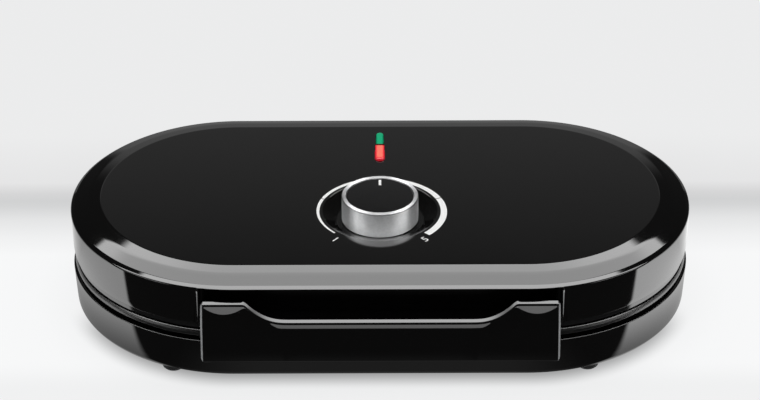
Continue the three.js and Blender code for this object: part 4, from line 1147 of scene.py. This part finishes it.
def platePiece(name, node, face, away, body):
    bm = bmesh.new()
    flange = [(plate["flangeEdge"], 0, 0), (0, 0, 0.5), (0, plate["flange"], 0.3),
              (plate["flangeEdge"], plate["flange"], 0)]
    inset = outline["radius"] - plate["radius"]
    rows = [addRow(bm, ovalRow(inset + step, face + away * depth)) for step, depth in fillet(flange, 4)]
    addSkin(bm, rows)
    mould = plate["mould"]
    rings = [mould + skirt for skirt in plate["skirt"]]
    radius = mould
    while radius > plate["smallest"]:
        rings.append(radius)
        radius -= plate["fineStep"] if radius > mould - plate["fineReach"] else plate["ringStep"]
    tops, backs = [rows[0]], [rows[-1]]
    pan = fillet([(plate["pan"], plate["flange"], 0), (plate["pan"] - plate["panIn"], plate["under"], 1.5),
                  (plate["panIn"], plate["under"], 0)], 4)
    for x in (-plate["centre"], plate["centre"]):
        shape = []
        for ring in rings:
            angles = [full * k / plate["steps"] for k in range(plate["steps"])]
            shape.append(addRow(bm, [
                (x + ring * math.cos(angle), ring * math.sin(angle), face + away * mouldDepth(ring, angle))
                for angle in angles
            ]))
        steps = plate["backSteps"]
        wall = [addRow(bm, circleRow(radius, face + away * depth, steps, x)) for radius, depth in pan]
        for side, loops in ((shape, tops), (wall, backs)):
            addSkin(bm, side)
            bm.faces.new(side[-1])
            loops.append(side[0])
    fillFlat(bm, tops)
    fillFlat(bm, backs)
    evenNormals(piece(name, bm, body, "coating", [node], 42))


platePiece("lowerBakingPlate", "lower_baking_plate", plate["lowerFace"], -1, "base")
platePiece("upperBakingPlate", "upper_baking_plate", plate["upperFace"], 1, "lid")
print("baking plates made")

# CAD pieces inside the casings that are shown as they are
carried = {
    "sheet": ["lower_heat_shield", "upper_heat_shield", "thermostat_bracket", "thermal_fuse"],
    "heater": ["lower_heating_element", "upper_heating_element"],
    "nylon": ["terminal_block", "thermostat_body", "lamp_holder"],
    "glass": ["green_lamp", "red_lamp"],
    "screw": ["thermostat_shaft", "bracket_screw_1", "bracket_screw_2"]
    + [f"{place}_plate_screw_{k}" for place in ("lower", "upper") for k in range(1, 5)],
}
for look, names in carried.items():
    for name in names:
        dress(name, look)
print("inner pieces dressed")

# Floor, in metres: a pale sheet that turns into a pale wall behind the object, with painted shade darkening
# to a soft line where they meet, a painted shadow round the object's foot and painted shade in front of it
floor = {
    "half": 8.0, "even": 0.9, "wallFrom": (0.17, 0.24), "besideFrom": (0.19, 0.24), "glowFrom": (0.06, 0.13),
    "toneReach": 0.21, "tonesWithShadeLine": [
        (0.00, (0.945, 0.95, 0.955)), (0.25, (0.945, 0.95, 0.955)), (0.36, (0.88, 0.885, 0.89)),
        (0.47, (0.78, 0.785, 0.79)), (0.55, (0.66, 0.665, 0.67)), (0.585, (0.635, 0.64, 0.645)),
        (0.63, (0.67, 0.67, 0.675)), (0.70, (0.785, 0.785, 0.79)), (1.00, (0.835, 0.838, 0.842)),
    ],
    "shade": 0.60, "shadeEdge": (-0.016, 0.007), "shadeFront": (-0.05, -0.01),
    "frontShadeLevel": 0.935, "frontEdge": (-0.113, -0.078),
}
# What polished sides mirror instead: pale cards left, right and behind, a dark one in front
cards = {
    "left": 1.5, "right": 2.1, "turn": (-0.05, 0.05), "deep": (1.75, 0.62), "deepSpan": (-0.09, 0.035),
    "rear": 0.25, "rearFrom": (0.12, 0.3), "nearEdge": 0.25, "edge": (-0.004, 0.042),
    "front": 0.03, "frontAt": -0.0865, "lean": 0.043, "leanFrom": 0.25, "soft": 0.003,
    "glow": 0.15, "glowFrom": (-0.150, -0.120), "glowBeside": (0.07, 0.15),
}


def floorLook(look):
    x, y, z = look.place()
    wide = abs(x)
    away = y.rise(*floor["wallFrom"])
    clear = away + wide.rise(*floor["besideFrom"]) * (1 - away)
    behind = y.between(0, 1, 0, floor["toneReach"])
    # painted shade: the floor darkens behind the object to a soft line, then turns into the pale wall
    tone = look.node("ShaderNodeValToRGB", {"stops": floor["tonesWithShadeLine"]}, {0: behind})
    past = wide.maths("MAXIMUM", wide - outline["half"] * mm, 0.0)
    edge = distance(past, y) - outline["radius"] * mm
    # painted contact shadow round the object's foot, and painted shade over the floor in front of it
    under = edge.fall(*floor["shadeEdge"]) * floor["shade"] * y.fall(*floor["shadeFront"])
    under = (1 - under) * y.between(floor["frontShadeLevel"], 1, *floor["frontEdge"], "SMOOTHSTEP")
    tone = look.node("ShaderNodeVectorMath", {"operation": "SCALE"}, {0: tone, "Scale": under})
    lit = look.node("ShaderNodeBsdfDiffuse", None, {"Color": tone})
    glow = look.node("ShaderNodeEmission", None, {"Color": tone, "Strength": 1.0})
    share = floor["even"] + y.rise(*floor["glowFrom"]) * clear * (1 - floor["even"])
    seen = look.node("ShaderNodeMixShader", None, {0: share, 1: lit, 2: glow})
    strength = x.between(cards["left"], cards["right"], *cards["turn"])
    strength = strength * y.between(*cards["deep"], *cards["deepSpan"])
    rear = y.rise(*cards["rearFrom"])
    strength = strength * (1 - rear) + rear * cards["rear"]
    strength = strength * edge.between(cards["nearEdge"], 1, *cards["edge"], "SMOOTHSTEP")
    near = y.rise(*cards["glowFrom"]) * wide.fall(*cards["glowBeside"])
    line = (wide - cards["leanFrom"]) * cards["lean"] + cards["frontAt"]
    front = (y - line).fall(-cards["soft"], cards["soft"])
    strength = strength * (1 - front) + front * (cards["front"] + near * cards["glow"])
    mirrored = look.node("ShaderNodeEmission", None, {"Color": (1, 1, 1), "Strength": strength})
    glossy = look.node("ShaderNodeLightPath", output="Is Glossy Ray")
    return look.node("ShaderNodeMixShader", None, {0: glossy, 1: seen, 2: mirrored})


def makeFloor():
    bm = bmesh.new()
    reach = floor["half"] / mm
    corners = [(-reach, -reach, 0), (reach, -reach, 0), (reach, reach, 0), (-reach, reach, 0)]
    bm.faces.new(addRow(bm, corners))
    made = meshFrom("floor", bm)
    made.data.materials.append(finish("paleFloor", floorLook))


# Softboxes seen only in polish, placed by direction: u = |x| / z, v = y / z
sky = {
    "camera": 0.865, "diffuse": 0.45, "low": 0.032, "horizon": 0.02, "soft": 0.03,
    "patch": 0.27, "patchWide": (0.17, 0.24), "patchDeep": (0.2, 0.5), "patchHigh": (0.47, 0.54),
    "top": 4.3, "sideEnd": -0.09, "sideLean": 1.1, "rearEnd": 1.09, "rearLean": 0.23,
    "topFrom": (-0.02, 0.04), "topGain": 1.3, "topGainFrom": (0.62, 0.8),
    "front": 7.5, "frontFrom": (-0.62, -0.36), "frontTo": (0.0, 0.06), "frontWide": (2.35, 2.65),
    "flank": 4.6, "flankWide": (0.55, 0.65), "flankLow": (0.02, 0.06), "flankHigh": (0.14, 0.20),
    "flankFrom": (-0.76, -0.64), "flankTo": (-0.26, -0.12),
}


def makeWorld():
    world = bpy.data.worlds.new("studio")
    bpy.context.scene.world = world
    world.use_nodes = True
    look = Look(world.node_tree)
    direction = look.node("ShaderNodeTexCoord", output="Generated")
    x = look.node("ShaderNodeSeparateXYZ", None, {0: direction})
    y, z = x.beside(1), x.beside(2)
    wide = abs(x)
    patch = wide.fall(*sky["patchWide"]) * y.rise(*sky["patchDeep"]) * z.fall(*sky["patchHigh"])
    height = z.maths("MAXIMUM", z, sky["horizon"])
    u, v = wide / height, y / height
    soft = sky["soft"]
    # main softbox above and behind, wider towards the rear
    top = (v - u * sky["sideLean"]).rise(sky["sideEnd"] - soft, sky["sideEnd"] + soft)
    top = top * (v + u * sky["rearLean"]).between(1, 0, sky["rearEnd"] - soft, sky["rearEnd"] + soft)
    top = top * v.rise(*sky["topFrom"]) * v.between(1, sky["topGain"], *sky["topGainFrom"], "SMOOTHSTEP")
    # brighter one in front of the zenith, fading forwards
    front = v.rise(*sky["frontFrom"]) * v.fall(*sky["frontTo"]) * u.fall(*sky["frontWide"])
    # tall boxes at both sides, low down
    flank = wide.rise(*sky["flankWide"]) * z.rise(*sky["flankLow"]) * z.fall(*sky["flankHigh"])
    flank = flank * y.rise(*sky["flankFrom"]) * y.fall(*sky["flankTo"])
    glossy = sky["low"] + patch * sky["patch"] + top * sky["top"]
    glossy = glossy + front * sky["front"] + flank * sky["flank"]
    isCamera = look.node("ShaderNodeLightPath", output="Is Camera Ray")
    isGlossy = look.node("ShaderNodeLightPath", output="Is Glossy Ray")
    unseen = isGlossy * glossy + (1 - isGlossy) * sky["diffuse"]
    level = isCamera * sky["camera"] + (1 - isCamera) * unseen
    shade = look.node("ShaderNodeBackground", None, {"Color": (1, 1, 1), "Strength": level})
    look.node("ShaderNodeOutputWorld", None, {"Surface": shade})


lamp = {"height": 1.8, "size": 0.9, "level": 6.6}  # over the floor, shown in no polish


def makeLamp():
    data = bpy.data.lights.new("fill", "AREA")
    data.shape = "RECTANGLE"
    data.size = data.size_y = lamp["size"]
    data.energy = lamp["level"] * math.pi * lamp["size"] ** 2
    made = added("fill", data)
    made.location.z = lamp["height"]
    made.visible_camera = False
    made.visible_glossy = False
    made.visible_transmission = False


makeFloor()
makeWorld()
makeLamp()
bpy.context.scene.view_settings.view_transform = "Standard"
print("studio made")
